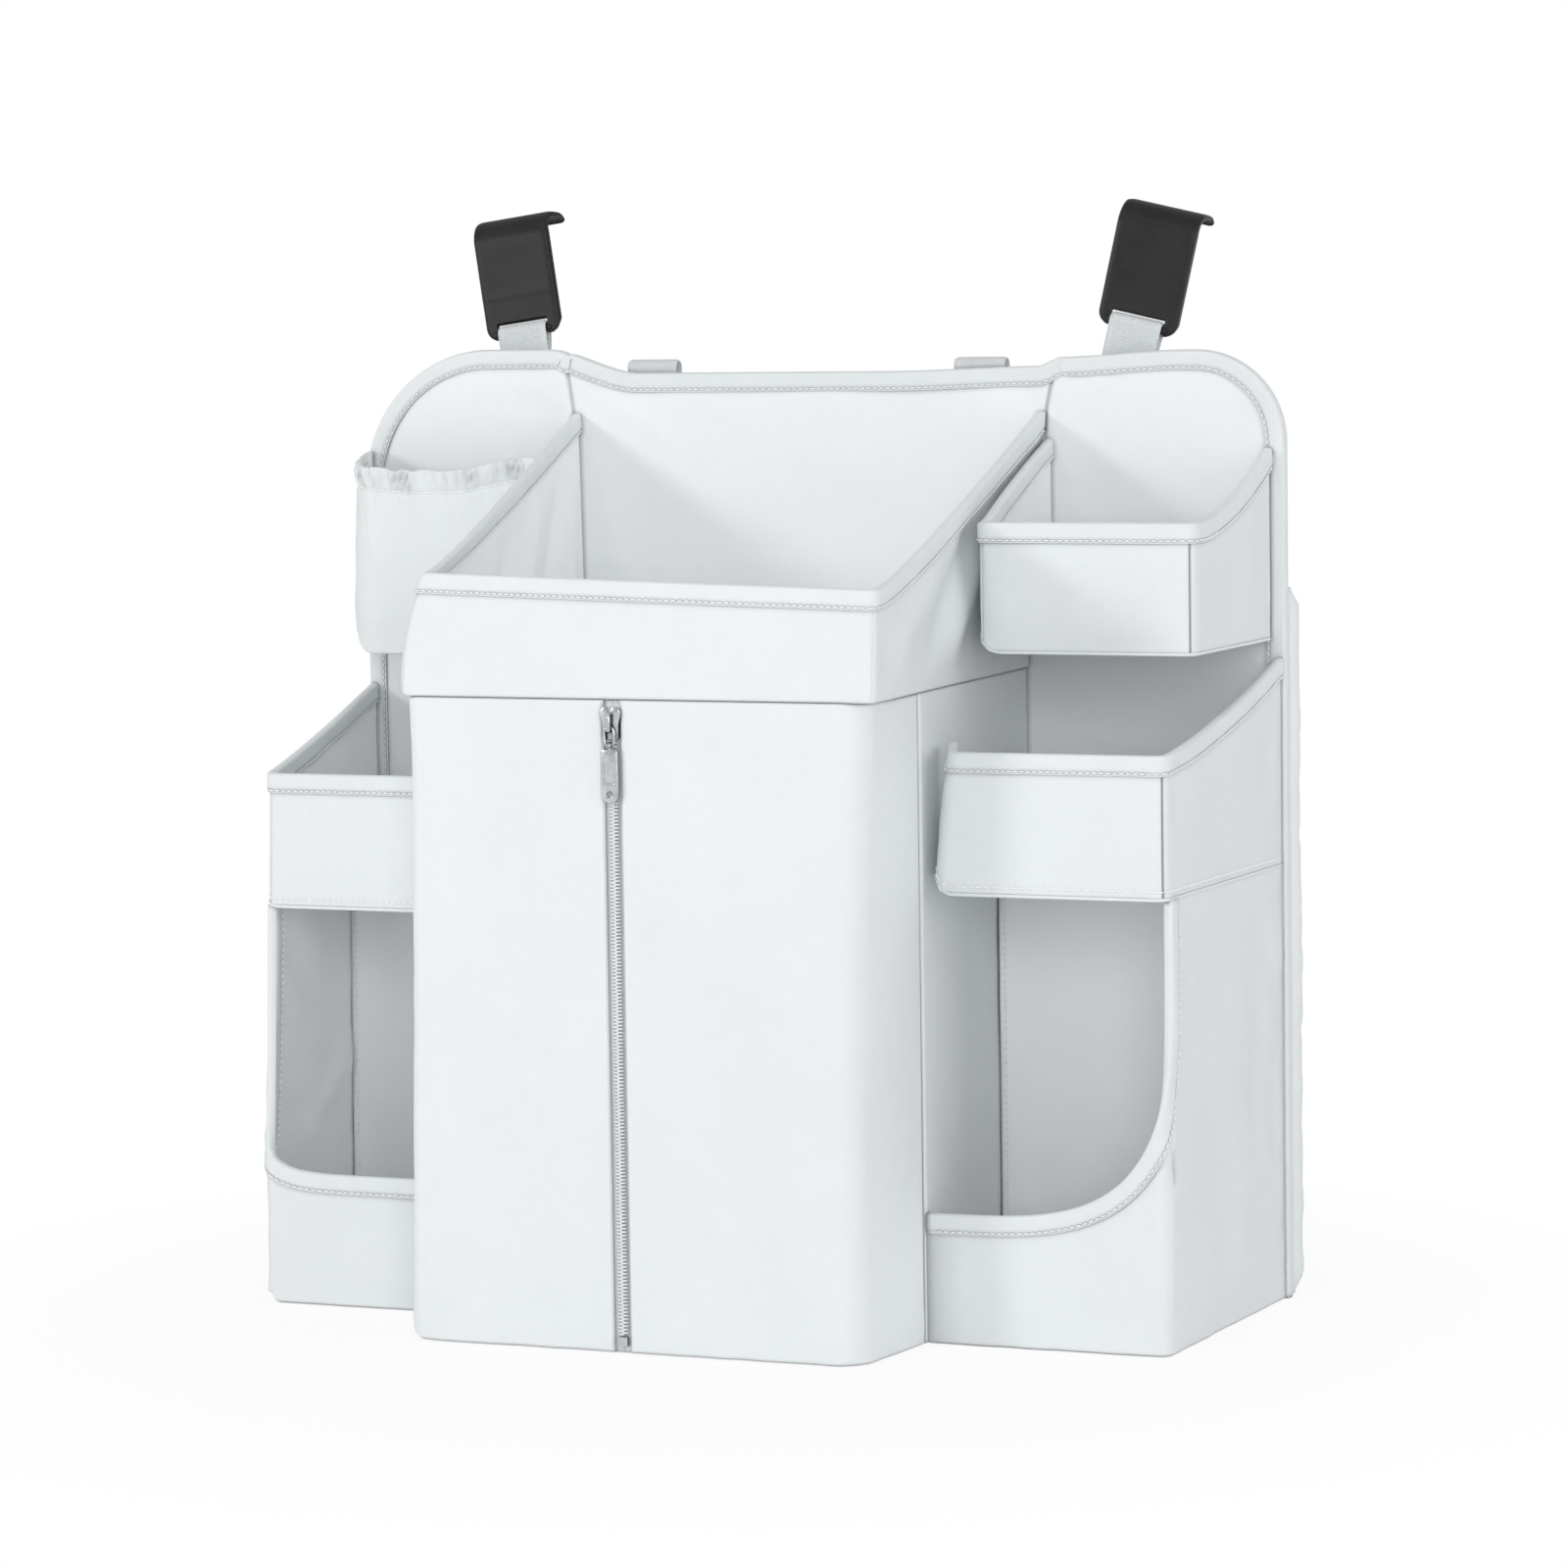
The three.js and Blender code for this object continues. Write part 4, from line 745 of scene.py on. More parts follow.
def cloth_material(name, dark, pale, pitch, roughness, sheen, weave=0.35, rib=1.0, contrast=0.1, shade=0.42):
    """Woven cloth: threads over and under along the piece's own directions, with soft variation, pale worn
    edges, and painted shade in hollows and narrow gaps.
    """
    made, nodes, links, shader = material(name)
    uv = nodes.new("ShaderNodeUVMap")
    uv.uv_map = "UVMap"
    place = nodes.new("ShaderNodeTexCoord").outputs["Object"]
    split = nodes.new("ShaderNodeSeparateXYZ")
    links.new(uv.outputs["UV"], split.inputs[0])
    waves = []
    for axis, size in (("X", pitch), ("Y", pitch * rib)):
        turn = math_node(nodes, links, "MULTIPLY", split.outputs[axis], 2 * math.pi / size)
        waves.append(math_node(nodes, links, "SINE", turn))
    threads = math_node(nodes, links, "MULTIPLY", *waves)
    fine = noise_node(nodes, links, place, scale=2600, detail=2.0)
    broad = noise_node(nodes, links, place, scale=14, detail=3.0, roughness=0.55)
    slubs = noise_node(nodes, links, place, scale=190, detail=2.0, roughness=0.6)
    height = sum_node(nodes, links, [(threads, 1.0), (fine, 0.8), (slubs, 1.2)])
    # Pale wear on outer edges, and painted shade in hollows
    edges = edge_wear_and_shade_node(nodes, links)
    tone = sum_node(nodes, links, [(threads, contrast), (slubs, 0.35), (broad, 0.65), (edges, 1.6)])
    color = ramp_node(nodes, links, tone, [(0.2, dark), (0.8, pale)])
    rough = range_node(nodes, links, slubs, roughness - 0.08, roughness + 0.08)
    normal = bump_node(nodes, links, height, weave, distance=0.00012)
    # The colour gets painted shade in narrow gaps
    connect(links, shader, painted_gap_shade_node(nodes, links, color, shade), rough, normal)
    shader.inputs["Sheen Weight"].default_value = sheen
    shader.inputs["Sheen Roughness"].default_value = 0.45
    shader.inputs["Specular IOR Level"].default_value = 0.3
    return made


def moulded_material(name, dark, pale, roughness, grain=900, depth=0.25, specular=0.5):
    """Moulded plastic with a fine grain, rubbed a little at its edges, and with painted shade in its
    hollows.
    """
    made, nodes, links, shader = material(name)
    place = nodes.new("ShaderNodeTexCoord").outputs["Object"]
    fine = noise_node(nodes, links, place, grain, detail=3.0)
    broad = noise_node(nodes, links, place, scale=45, detail=4.0, roughness=0.6)
    # Pale wear on outer edges, and painted shade in hollows
    tone = sum_node(nodes, links, [(broad, 0.8), (edge_wear_and_shade_node(nodes, links), 2.5)])
    color = ramp_node(nodes, links, tone, [(0.25, dark), (0.8, pale)])
    rough = range_node(nodes, links, broad, roughness - 0.07, roughness + 0.09)
    connect(links, shader, color, rough, bump_node(nodes, links, fine, depth, distance=0.00015))
    shader.inputs["Specular IOR Level"].default_value = specular
    return made


def metal_material(name, dark, pale, roughness):
    """Plated metal with fine scratches, and strong painted shade in its narrow gaps."""
    made, nodes, links, shader = material(name)
    place = nodes.new("ShaderNodeTexCoord").outputs["Object"]
    stretch = nodes.new("ShaderNodeMapping")
    stretch.inputs["Scale"].default_value = (1, 1, 0.08)
    links.new(place, stretch.inputs["Vector"])
    lines = noise_node(nodes, links, stretch.outputs["Vector"], scale=1500, detail=3.0)
    broad = noise_node(nodes, links, place, scale=160, detail=3.0)
    color = ramp_node(nodes, links, broad, [(0.3, dark), (0.7, pale)])
    rough = range_node(nodes, links, lines, roughness - 0.06, roughness + 0.1)
    normal = bump_node(nodes, links, lines, strength=0.12, distance=0.0001)
    # Strong painted shade in narrow gaps
    connect(links, shader, painted_gap_shade_node(nodes, links, color, shade=0.05), rough, normal)
    shader.inputs["Metallic"].default_value = 1.0
    return made


# The shade argument sets how dark the painted shade in narrow gaps gets.
CLOTH_LOOK = cloth_material(
    "cloth", (0.755, 0.79, 0.805), (0.815, 0.845, 0.855), pitch=0.55, roughness=0.66, sheen=0.12)
# A paler copy of the cloth for the back's covers: painted light that lifts the back where it lies in shade.
BACK_PAINTED_LIGHT_LOOK = cloth_material(
    "lining", (0.84, 0.87, 0.88), (0.90, 0.92, 0.925), pitch=0.55, roughness=0.7, sheen=0.12)
# A still paler copy of the cloth for the panels' inner sides and the lower linings: painted light that lifts
# the shaded insides.
INSIDE_PAINTED_LIGHT_LOOK = cloth_material(
    "inside", (0.92, 0.935, 0.94), (0.955, 0.965, 0.97), pitch=0.55, roughness=0.7, sheen=0.45)
TRIM_LOOK = cloth_material(
    "trim", (0.75, 0.785, 0.80), (0.82, 0.85, 0.86),
    pitch=0.8, roughness=0.7, sheen=0.12, weave=0.5, shade=0.35)
THREAD_LOOK = cloth_material(
    "thread", (0.88, 0.90, 0.905), (0.94, 0.95, 0.955), pitch=0.4, roughness=0.6, sheen=0.2, shade=0.85)
WEBBING_LOOK = cloth_material(
    "webbing", (0.57, 0.60, 0.615), (0.72, 0.75, 0.765),
    pitch=1.5, roughness=0.78, sheen=0.2, weave=0.9, contrast=0.4)
TAPE_LOOK = cloth_material(
    "zip_tape", (0.78, 0.81, 0.82), (0.85, 0.87, 0.88),
    pitch=0.7, roughness=0.72, sheen=0.1, weave=0.5, shade=0.5)
ELASTIC_LOOK = cloth_material(
    "elastic", (0.80, 0.81, 0.815), (0.87, 0.88, 0.88),
    pitch=1.0, roughness=0.85, sheen=0.2, weave=0.8, rib=0.6)
NYLON_LOOK = moulded_material(
    "nylon", (0.70, 0.73, 0.75), (0.80, 0.83, 0.84), roughness=0.38, grain=1200, depth=0.1)
BLACK_LOOK = moulded_material(
    "black", (0.010, 0.010, 0.010), (0.025, 0.025, 0.025),
    roughness=0.42, grain=1300, depth=0.35, specular=0.25)
# A darker copy of the black for the hook's rim faces: painted shade on its sides.
SIDE_PAINTED_SHADE_LOOK = moulded_material(
    "black_side_painted_shade", (0.003, 0.003, 0.003), (0.006, 0.006, 0.006),
    roughness=0.3, grain=1300, depth=0.3, specular=0.1)
GREY_LOOK = moulded_material("grey", (0.52, 0.55, 0.57), (0.62, 0.64, 0.66), roughness=0.45)
BOARD_LOOK = moulded_material(
    "board", (0.62, 0.63, 0.60), (0.70, 0.70, 0.67), roughness=0.8, grain=300, depth=0.4)
METAL_LOOK = metal_material("metal", (0.46, 0.47, 0.48), (0.64, 0.65, 0.66), roughness=0.16)


# Back panel
def outline_top(x, inset=PROUD):
    """The back's upper edge at x: the right wing rises in steps and stays lower than the left one."""
    x = np.asarray(x, float)
    half, low = BACK_HALF - inset, BACK_HEIGHT - BACK_DIP - inset
    radius = np.where(x < 0, CORNER_LEFT, CORNER_RIGHT) - inset
    wing = BACK_DIP * ease((-x - WING_INNER) / (WING_OUTER - WING_INNER))
    steps = sum(rise * ease((x - start) / reach) for start, reach, rise in RIGHT_STEPS)
    flat, top = half - radius, low + np.where(x < 0, BACK_DIP, RIGHT_RISE)
    past = np.clip(np.abs(x) - flat, 0, radius)
    corner = top - radius + np.sqrt(np.maximum(radius ** 2 - past ** 2, 0))
    return np.where(np.abs(x) > flat, corner, low + np.where(x < 0, wing, steps))


SEAM_LEFT, SEAM_RIGHT, SEAM_LOW = -119.0, 115.8, 402.0


def seams_at(z):
    """Where the back's two upright seams are at a height: they spread apart above the bin's rim."""
    above = np.maximum(np.asarray(z, float) - SEAM_LOW, 0)
    return SEAM_LEFT - 0.15 * above, SEAM_RIGHT + 0.2 * above


def seam_marks(x, z, width):
    return sum(bell(x - seam, width) for seam in seams_at(z))


BACK_FOLDS = (
    ((SEAM_LEFT + 6, 418), (SEAM_LEFT + 62, 384), 5.0, 1.0),
    ((SEAM_RIGHT - 8, 418), (SEAM_RIGHT - 58, 392), 5.0, 0.8),
    ((SEAM_LEFT - 4, 410), (SEAM_LEFT - 30, 424), 4.0, 0.7),
    ((SEAM_RIGHT + 5, 408), (SEAM_RIGHT + 32, 424), 4.0, 0.7),
)


def back_relief(x, z):
    """The front of the back panel: seams above the bin's walls, and a little unevenness."""
    left, right = seams_at(z)
    upright = (SEAM_LEFT, SEAM_RIGHT, BACK_HALF, -BACK_HALF)
    free = within(z, 330, outline_top(x), rise=60, fall=14) * hold(x, upright, reach=22)
    rise = bell(x - left + 4.5, 5) + bell(x - right - 4.5, 5)
    seams = creases(x, z, BACK_FOLDS) - 1.9 * seam_marks(x, z, 0.8) + 0.9 * rise
    return wrinkle(x, z, 11, amount=0.9) * free + seams * ease((z - 380) / 14)


def rear_relief(x, z):
    """The rear of the back panel: a little unevenness that ends at its edges."""
    uneven = wrinkle(x, z, 17, amount=0.6) * ease((outline_top(x) - z) / 16)
    return uneven * ease((BACK_HALF - np.abs(x)) / 16)


def back_columns():
    """Where the back's columns of points stand, closer together at its seams and round corners."""
    half, left, right = BACK_HALF - PROUD, CORNER_LEFT - PROUD, CORNER_RIGHT - PROUD
    quarter = np.sin(np.linspace(0, math.pi / 2, 26))[1:]
    flat = np.linspace(left - half, half - right, 89)
    beside = (-3.0, -1.8, -1.0, -0.5, 0, 0.5, 1.0, 1.8, 3.0)
    seams = [seam + gap for seam in (SEAM_LEFT, SEAM_RIGHT) for gap in beside]
    flat = flat[hold(flat, (SEAM_LEFT, SEAM_RIGHT), 4.0) >= 1]
    ends = [left - half - left * quarter, half - right + right * quarter]
    return np.unique(np.round(np.concatenate([flat, seams, *ends]), 3))


def follow_seams(x, z):
    """Columns of points near a seam lean with it."""
    left, right = seams_at(z)
    near_left, near_right = (fade(np.abs(x - seam), 4, reach=30) for seam in (SEAM_LEFT, SEAM_RIGHT))
    return x + near_left * (left - SEAM_LEFT) + near_right * (right - SEAM_RIGHT)


def back_cover(name, y, sign, relief, node):
    """The cloth over one side of the back board."""
    face = Face(y, sign, relief)
    rows = np.concatenate([np.linspace(0, 0.8, 70), np.linspace(0.8, 1, 40)[1:]])
    column, share = grid(back_columns(), rows)
    x = follow_seams(column, outline_top(column) * share)
    z = outline_top(x) * share
    # The covers take the paler copy of the cloth: painted light.
    return lay_sheet(name, face.put(x, z, 0), face.put(x, z, -CLOTH), x, z, BACK_PAINTED_LIGHT_LOOK, stands_for=(node,))


front_cover = back_cover("back_front_cloth", BACK_Y, -1, back_relief, "back_cover_front")
rear_cover = back_cover("back_rear_cloth", REAR_Y, 1, rear_relief, "back_cover_rear")


def back_edge():
    """The line of the back's bound edge, from the lower left over the top to the lower right."""
    half, low = BACK_HALF - PROUD, BACK_HEIGHT - BACK_DIP - PROUD
    angle = np.linspace(0, math.pi / 2, 24)
    turn = np.stack([np.cos(angle), np.sin(angle)], -1)
    corners = []
    for radius, rise in ((CORNER_LEFT - PROUD, BACK_DIP), (CORNER_RIGHT - PROUD, RIGHT_RISE)):
        corners.append(turn * radius + (half - radius, low + rise - radius))
    left, right = corners[0][::-1] * (-1, 1), corners[1]
    beside = np.array((-4.0, -2.6, -1.6, -0.8, 0, 0.8, 1.6, 2.6, 4.0))
    marks = [seam + beside for seam in seams_at(outline_top(np.array(SEAM_RIGHT)))]
    x = np.concatenate([np.linspace(left[0, 0], right[-1, 0], 81)[1:-1], *marks])
    x = np.unique(np.round(x, 2))[::-1]
    pinch = sum(depth * bell(x - mark[len(beside) // 2], 1.6) for depth, mark in zip((0.8, 0.5), marks))
    middle = np.stack([x, outline_top(x) - pinch], -1)
    return np.concatenate([[(half, 0.0)], right, middle, left, [(-half, 0.0)]])[::-1]


def notch(x, z):
    """The binding dips in where the seams of the back reach the top edge."""
    return -0.45 * seam_marks(x, z, 0.9) * ease((z - 400) / 10)


binding("back_edge_tape", Face(BACK_Y, -1, notch), back_edge(), BACK_THICK, ("back_binding",), seed=3)


# Rear sleeve
def rear_sleeve():
    """A flat sleeve over the lower part of the rear, open at its top."""
    half, start = BACK_HALF - PROUD, REAR_Y + PROUD + CLEARANCE
    rear, hem_z = start + SLEEVE_DEPTH, SLEEVE_HEIGHT - SLEEVE_HEM
    plan = Plan([(half, start), (half, rear), (-half, rear), (-half, start)], SLEEVE_CORNER)

    def relief(s, z):
        """Puckers and a bulge beside both side seams, and a hem along the top."""
        near = np.minimum(s, plan.length - s)
        ends = ease(near / 14)
        sides = 1.1 * field(s / 5 + z / 9, z / 14, 31) * fade(near, 8, reach=12)
        broad = wrinkle(s, z, 33, amount=1.0) * ends * ease(z / 20)
        hem = -0.4 * bell(z - hem_z, width=1.2)
        upright = within(z, 0, SLEEVE_HEIGHT, rise=10, fall=8)
        bulge = 3.4 * ease(near / 6) * fade(near, 12, reach=30) * upright
        return np.minimum(broad + sides * ends + hem, 0.9) + bulge

    skin, tuck = Skin(plan, relief), (0.3, 0.3, 0.4, 0.0)
    cloth = wall("rear_sleeve_cloth", skin, 0, plan.length, 0, SLEEVE_HEIGHT, CLOTH, ("rear_sleeve",), tuck)
    stitches("rear_sleeve_stitches", skin, refine([(6, hem_z), (plan.length - 6, hem_z)]), 0.0)
    wide, deep = half - CLOTH - 0.2, rear - CLOTH - 0.2
    outline = [(-wide, start), (wide, start), (wide, deep), (-wide, deep)]
    floor_sheet("rear_sleeve_bottom", outline, 0.0, CLOTH, (), sag=0.1, seed=35)


rear_sleeve()


# Open bin
def bin_height(x, y):
    """How high the bin's rim stands above its floor."""
    share = np.clip((x - BIN_LEFT) / (BIN_RIGHT - BIN_LEFT), 0, 1)
    along = soft_start(np.clip((y - FRONT_Y) / BOX_DEPTH, 0, 1), 0.06)
    return mix(mix(BIN_FRONT_LEFT, BIN_FRONT_RIGHT, share), BIN_BACK, along ** BIN_RIM_POWER)


def bin_warp(place):
    """The bin's sides lean, and its left one curves in towards the rim."""
    x, y, z = np.moveaxis(place, -1, 0)
    across = (x - BIN_CENTRE) / BIN_HALF
    along = np.clip((y - FRONT_Y) / BOX_DEPTH, 0, 1)
    rise = np.clip((z - BOX_HEIGHT) / bin_height(x, y), 0, 1.1)
    left = mix(BIN_LEAN_LEFT[0] * rise ** 2.2, BIN_LEAN_LEFT[1] * rise, along)
    right = mix(*BIN_LEAN_RIGHT, along) * rise
    shift = np.where(across < 0, left, right) * across
    return round_bottom(BIN_LEFT, BOX_HEIGHT, BIN_ROUND, FRONT_Y)(moved(place, shift))


def open_bin():
    """The open bin on top: three walls, the tape along their rim and a floor."""
    left_side = [(BIN_LEFT, INNER_BACK_Y), (BIN_LEFT, FRONT_Y)]
    right_side = [(BIN_RIGHT, FRONT_Y), (BIN_RIGHT, INNER_BACK_Y)]
    plan = Plan(left_side + right_side, BIN_CORNER)
    front, right, end = plan.corner(1), plan.corner(2), plan.length
    base, half = BOX_HEIGHT + CLEARANCE, CLEARANCE / 2
    folds = (
        ((60, 292), (22, 385), 8, 2.6), ((84, 290), (52, 380), 7, -2.2),
        ((112, 290), (86, 366), 8, 2.0), ((18, 300), (8, 380), 5, -1.2),
        ((right + 152, 366), (right + 84, 294), 9, 3.0),
        ((right + 130, 370), (right + 58, 296), 8, -2.4),
        ((right + 84, 350), (right + 20, 300), 9, 1.8),
    )

    def rim(s):
        point = plan.at(s)[0]
        return BOX_HEIGHT + bin_height(point[..., 0], point[..., 1]) - PROUD

    def relief(s, z):
        away = hold(s, (0, front, right, end), reach=16) * within(z, base, rim(s), rise=10, fall=16)
        return away * (wrinkle(s, z, 41, amount=1.1, lean=0.3) + creases(s, z, folds))

    skin = Skin(plan, relief, bin_warp)
    for label, node, s0, s1, first, last in (
        ("left", "side_left", 0, front - half, 1.3, 1.3),
        ("front", "front", front + half, right, 1.3, 0.15),
        ("right", "side_right", right, end, 0.15, 1.3),
    ):
        tuck = (first, last, 1.0, 0.0)
        wall(f"bin_{label}_cloth", skin, s0, s1, base, rim, PANEL, (f"bin_{node}",), tuck)
    s = plan.stations(0, end, 6)
    binding("bin_rim_tape", skin, np.stack([s, rim(s)], -1), PANEL, ("bin_rim_binding",), seed=5)
    inner = inner_outline(plan, s, INNER_BACK_Y)
    floor_sheet("bin_floor_cloth", inner, base, PANEL, ("bin_floor",), sag=0.5, seed=43)


open_bin()


# Centre compartment
def box_lean(place):
    """The box's front corners come further left towards the bottom, and the lower left one is round."""
    x, y, z = np.moveaxis(place, -1, 0)
    low, across = np.clip(1 - z / ZIP_STRAIGHT, 0, 1), (BOX_LEFT, ZIP_X, BOX_RIGHT)
    shift = mix(np.interp(x, across, BOX_SHIFT_TOP), np.interp(x, across, BOX_SHIFT_BOTTOM), low)
    shift = shift * np.clip((SIDE_FRONT_Y - y) / (SIDE_FRONT_Y - FRONT_Y), 0, 1)
    return round_bottom(BOX_LEFT + BOX_SHIFT_BOTTOM[0], 0.0, BOX_ROUND, FRONT_Y)(moved(place, shift))


def box_front_relief(plan, lip, seed, soft):
    """A front half's surface: a fold beside the zip at lip, a wavy hem and a softer corner."""

    def relief(s, z):
        near = np.abs(s - lip)
        away = within(z, 0, BOX_HEIGHT, rise=22, fall=18) * within(near, 0, plan.length, rise=16, fall=12)
        fold = -0.35 * bell(near - ZIP_STITCH, width=0.8) + 0.25 * bell(near - 2.2, width=1.6)
        hem = 0.5 * field(s / 11, z / 30, seed + 3) * np.exp(-z / 9) + 0.3 * bell(z - 9, width=5)
        bulge = np.sin(math.pi * np.clip(z / BOX_HEIGHT, 0, 1))
        corner = -soft * bell(s - plan.corner(1), width=18) * bulge
        return away * wrinkle(s, z, seed, amount=1.1) + fold + hem * ease(near / 8) + corner

    return relief


def box_fronts():
    """The two front halves, each from the zip round its corner to the side wall."""
    ends, lip_left, lip_right = SIDE_FRONT_Y - CLEARANCE, ZIP_X - ZIP_SLOT / 2, ZIP_X + ZIP_SLOT / 2
    left = Plan([(BOX_LEFT, ends), (BOX_LEFT, FRONT_Y), (lip_left, FRONT_Y)], BOX_CORNER["left"])
    turn, seam = (BOX_RIGHT - BOX_SLANT, FRONT_Y), (BOX_RIGHT, SIDE_FRONT_Y - BOX_SEAM)
    right = Plan([(lip_right, FRONT_Y), turn, seam], BOX_CORNER["right"])
    for side, plan, lip, seed in (("left", left, left.length, 51), ("right", right, 0.0, 57)):
        skin = Skin(plan, box_front_relief(plan, lip, seed, BOX_SOFT[side]), box_lean)
        wall(f"box_{side}_cloth", skin, 0, plan.length, 0, BOX_HEIGHT, PANEL, (f"box_front_{side}",),
             tuck=(0.9, 1.5, 1.0, 0.9), step=5.0)
        at = abs(lip - ZIP_STITCH)
        stitches(f"zip_{side}_stitches", skin, refine([(at, 6.0), (at, BOX_HEIGHT - 6)]), -0.25)


def box_wall_relief(plan, seed):
    def relief(s, z):
        away = hold(s, (0, plan.length), reach=25) * within(z, 0, BOX_HEIGHT, rise=25, fall=20)
        return -np.abs(away * wrinkle(s, z, seed, amount=1.3))

    return relief


def box_walls():
    """The side walls of the centre compartment, behind its front halves."""
    left = Plan([(BOX_LEFT, INNER_BACK_Y), (BOX_LEFT, SIDE_FRONT_Y)])
    right = Plan([(BOX_RIGHT, SIDE_FRONT_Y), (BOX_RIGHT, INNER_BACK_Y)])
    for side, plan, seed in (("left", left, 61), ("right", right, 65)):
        skin = Skin(plan, box_wall_relief(plan, seed))
        wall(f"box_{side}_wall_cloth", skin, 0, plan.length, 0, BOX_HEIGHT, PANEL, (f"box_wall_{side}",),
             tuck=(0.6, 0.3, 0.6, 0.6), step=6.0)


def box_floor():
    """The cloth floor of the centre compartment, with rounded front corners."""
    half, front = BOX_HALF - PANEL - CLEARANCE, FRONT_Y + PANEL + 2 * CLEARANCE + TAPE
    corners = []
    for side in ("left", "right"):
        inside = BOX_CORNER[side] - PANEL - CLEARANCE
        corners.append(arc_line((inside - half, front + inside), inside, math.pi, 1.5 * math.pi, 9))
    right_corner = corners[1][::-1] * (-1, 1) - (BOX_SLANT, 0)
    right_side = [(half, SIDE_FRONT_Y), (half, INNER_BACK_Y)]
    outline = np.concatenate([[(-half, INNER_BACK_Y)], corners[0], right_corner, right_side])
    outline = outline + (BOX_CENTRE, 0)
    floor_sheet(
        "box_floor_cloth", outline, 0, PANEL, ("box_floor",), sag=0.1, seed=69, tuck=0.5, warp=box_lean)


box_fronts()
box_walls()
box_floor()


# Front zip
# One turn of the coil: reach from the zip's middle, depth behind its front, and radius of the thread
COIL_TURN = np.array([
    (2.3, 1.5, 0.34), (2.0, 0.62, 0.44), (1.2, 0.2, 0.46),
    (0.4, 0.1, 0.46), (-0.15, 0.35, 0.5), (-0.32, 0.9, 0.3),
])


def zip_tape(side, sign):
    """One of the two tapes that carry the zip's coils."""
    face = Face(TAPE_Y, -1)
    near, far = ZIP_X + sign * 0.08, ZIP_X + sign * (0.6 + TAPE_WIDTH)
    x, z = grid(np.linspace(near, far, 9), np.linspace(0, BOX_HEIGHT - CLEARANCE, 60))
    lay_sheet(f"zip_tape_{side}_cloth", face.put(x, z, 0), face.put(x, z, -TAPE), x, z, TAPE_LOOK,
              (f"zip_tape_{side}",))


def zip_coil(side, sign):
    """One side's coil, as a row of turns that lie between the other side's."""
    reach, depth, size = COIL_TURN.T
    heights = np.arange(CHAIN_LOW + 0.8, ZIP_TOP - 0.6, COIL_PITCH) + (COIL_PITCH / 2 if sign > 0 else 0)
    teeth = []
    for height in heights[heights < ZIP_TOP - 0.5]:
        line = np.stack([ZIP_X + sign * reach, CHAIN_Y + 0.5 + depth, np.full(len(reach), height)], -1)
        teeth.append(tube_mesh(line, size, 6))
    points, faces = gather_meshes(teeth)
    make(f"zip_coil_{side}", points, faces, NYLON_LOOK, stands_for=(f"zip_chain_{side}",))


def zip_slider():
    """Two plates joined by side rails, with an arch in front that holds the pull's link."""
    half = [(0.0, 283.0), (0.9, 284.2), (2.1, 285.0), (3.4, 284.7), (4.4, 283.2), (4.4, 281.2),
            (3.7, 278.8), (3.3, 276.0), (3.2, 273.0), (2.6, 271.4), (1.2, 271.0)]
    outline = half + [(-x, z) for x, z in reversed(half[1:])]
    shield = flat_plate([smooth_loop(outline, 4)], SLIDER_FRONT_Y, depth=1.0, bevel=0.35)
    narrow = smooth_loop([(x * 0.8, z) for x, z in outline], 4)
    rear = flat_plate([narrow], TAPE_Y + TAPE + CLEARANCE, depth=1.0, bevel=0.3)
    near, far = SLIDER_FRONT_Y + 0.7, TAPE_Y - CLEARANCE
    rails = [box_mesh((x - 0.4, near, 271.3), (x + 0.4, far, 284.2)) for x in (-3.1, 3.1)]
    y, front = SLIDER_FRONT_Y + 0.4, SLIDER_FRONT_Y - 2.55
    arch = np.array([
        (y, 282.6), (front + 0.9, 282.3), (front + 0.1, 281.0), (front, 279.0), (front, 276.6),
        (front + 0.2, 275.1), (front + 1.0, 274.5), (y, 274.4),
    ])
    spots = np.linspace(0, len(arch) - 1, 29)
    arch_y, arch_z = (np.interp(spots, np.arange(len(arch)), arch[:, k]) for k in (0, 1))
    crown, crown_faces = tube_mesh(np.stack([0 * spots, arch_y, arch_z], -1), 0.62, 10, up=(1, 0, 0))
    crown = crown * (1.7, 1, 1)
    points, faces = gather_meshes([shield, rear, *rails, (crown, crown_faces)])
    make("zip_slider_body", points + (ZIP_X, 0, 0), faces, METAL_LOOK, "slider", ("zip_slider",))


def zip_link():
    """A wire ring with straight sides, as a rounded rectangle."""
    angle, power = np.linspace(0, 2 * math.pi, 48, endpoint=False), 0.62
    wide, tall = 2.3, (LINK_Z - PULL_Z) / 2
    x, z = (size * np.sign(turn) * np.abs(turn) ** power
            for size, turn in ((wide, np.cos(angle)), (tall, np.sin(angle))))
    ring = np.stack([ZIP_X + x, np.full(len(angle), LINK_Y), (LINK_Z + PULL_Z) / 2 + z], -1)
    points, faces = tube_mesh(ring, 0.66, 10, True, up=(0, 1, 0))
    make("zip_pull_link", points, faces, METAL_LOOK, "link", ("zip_link",))


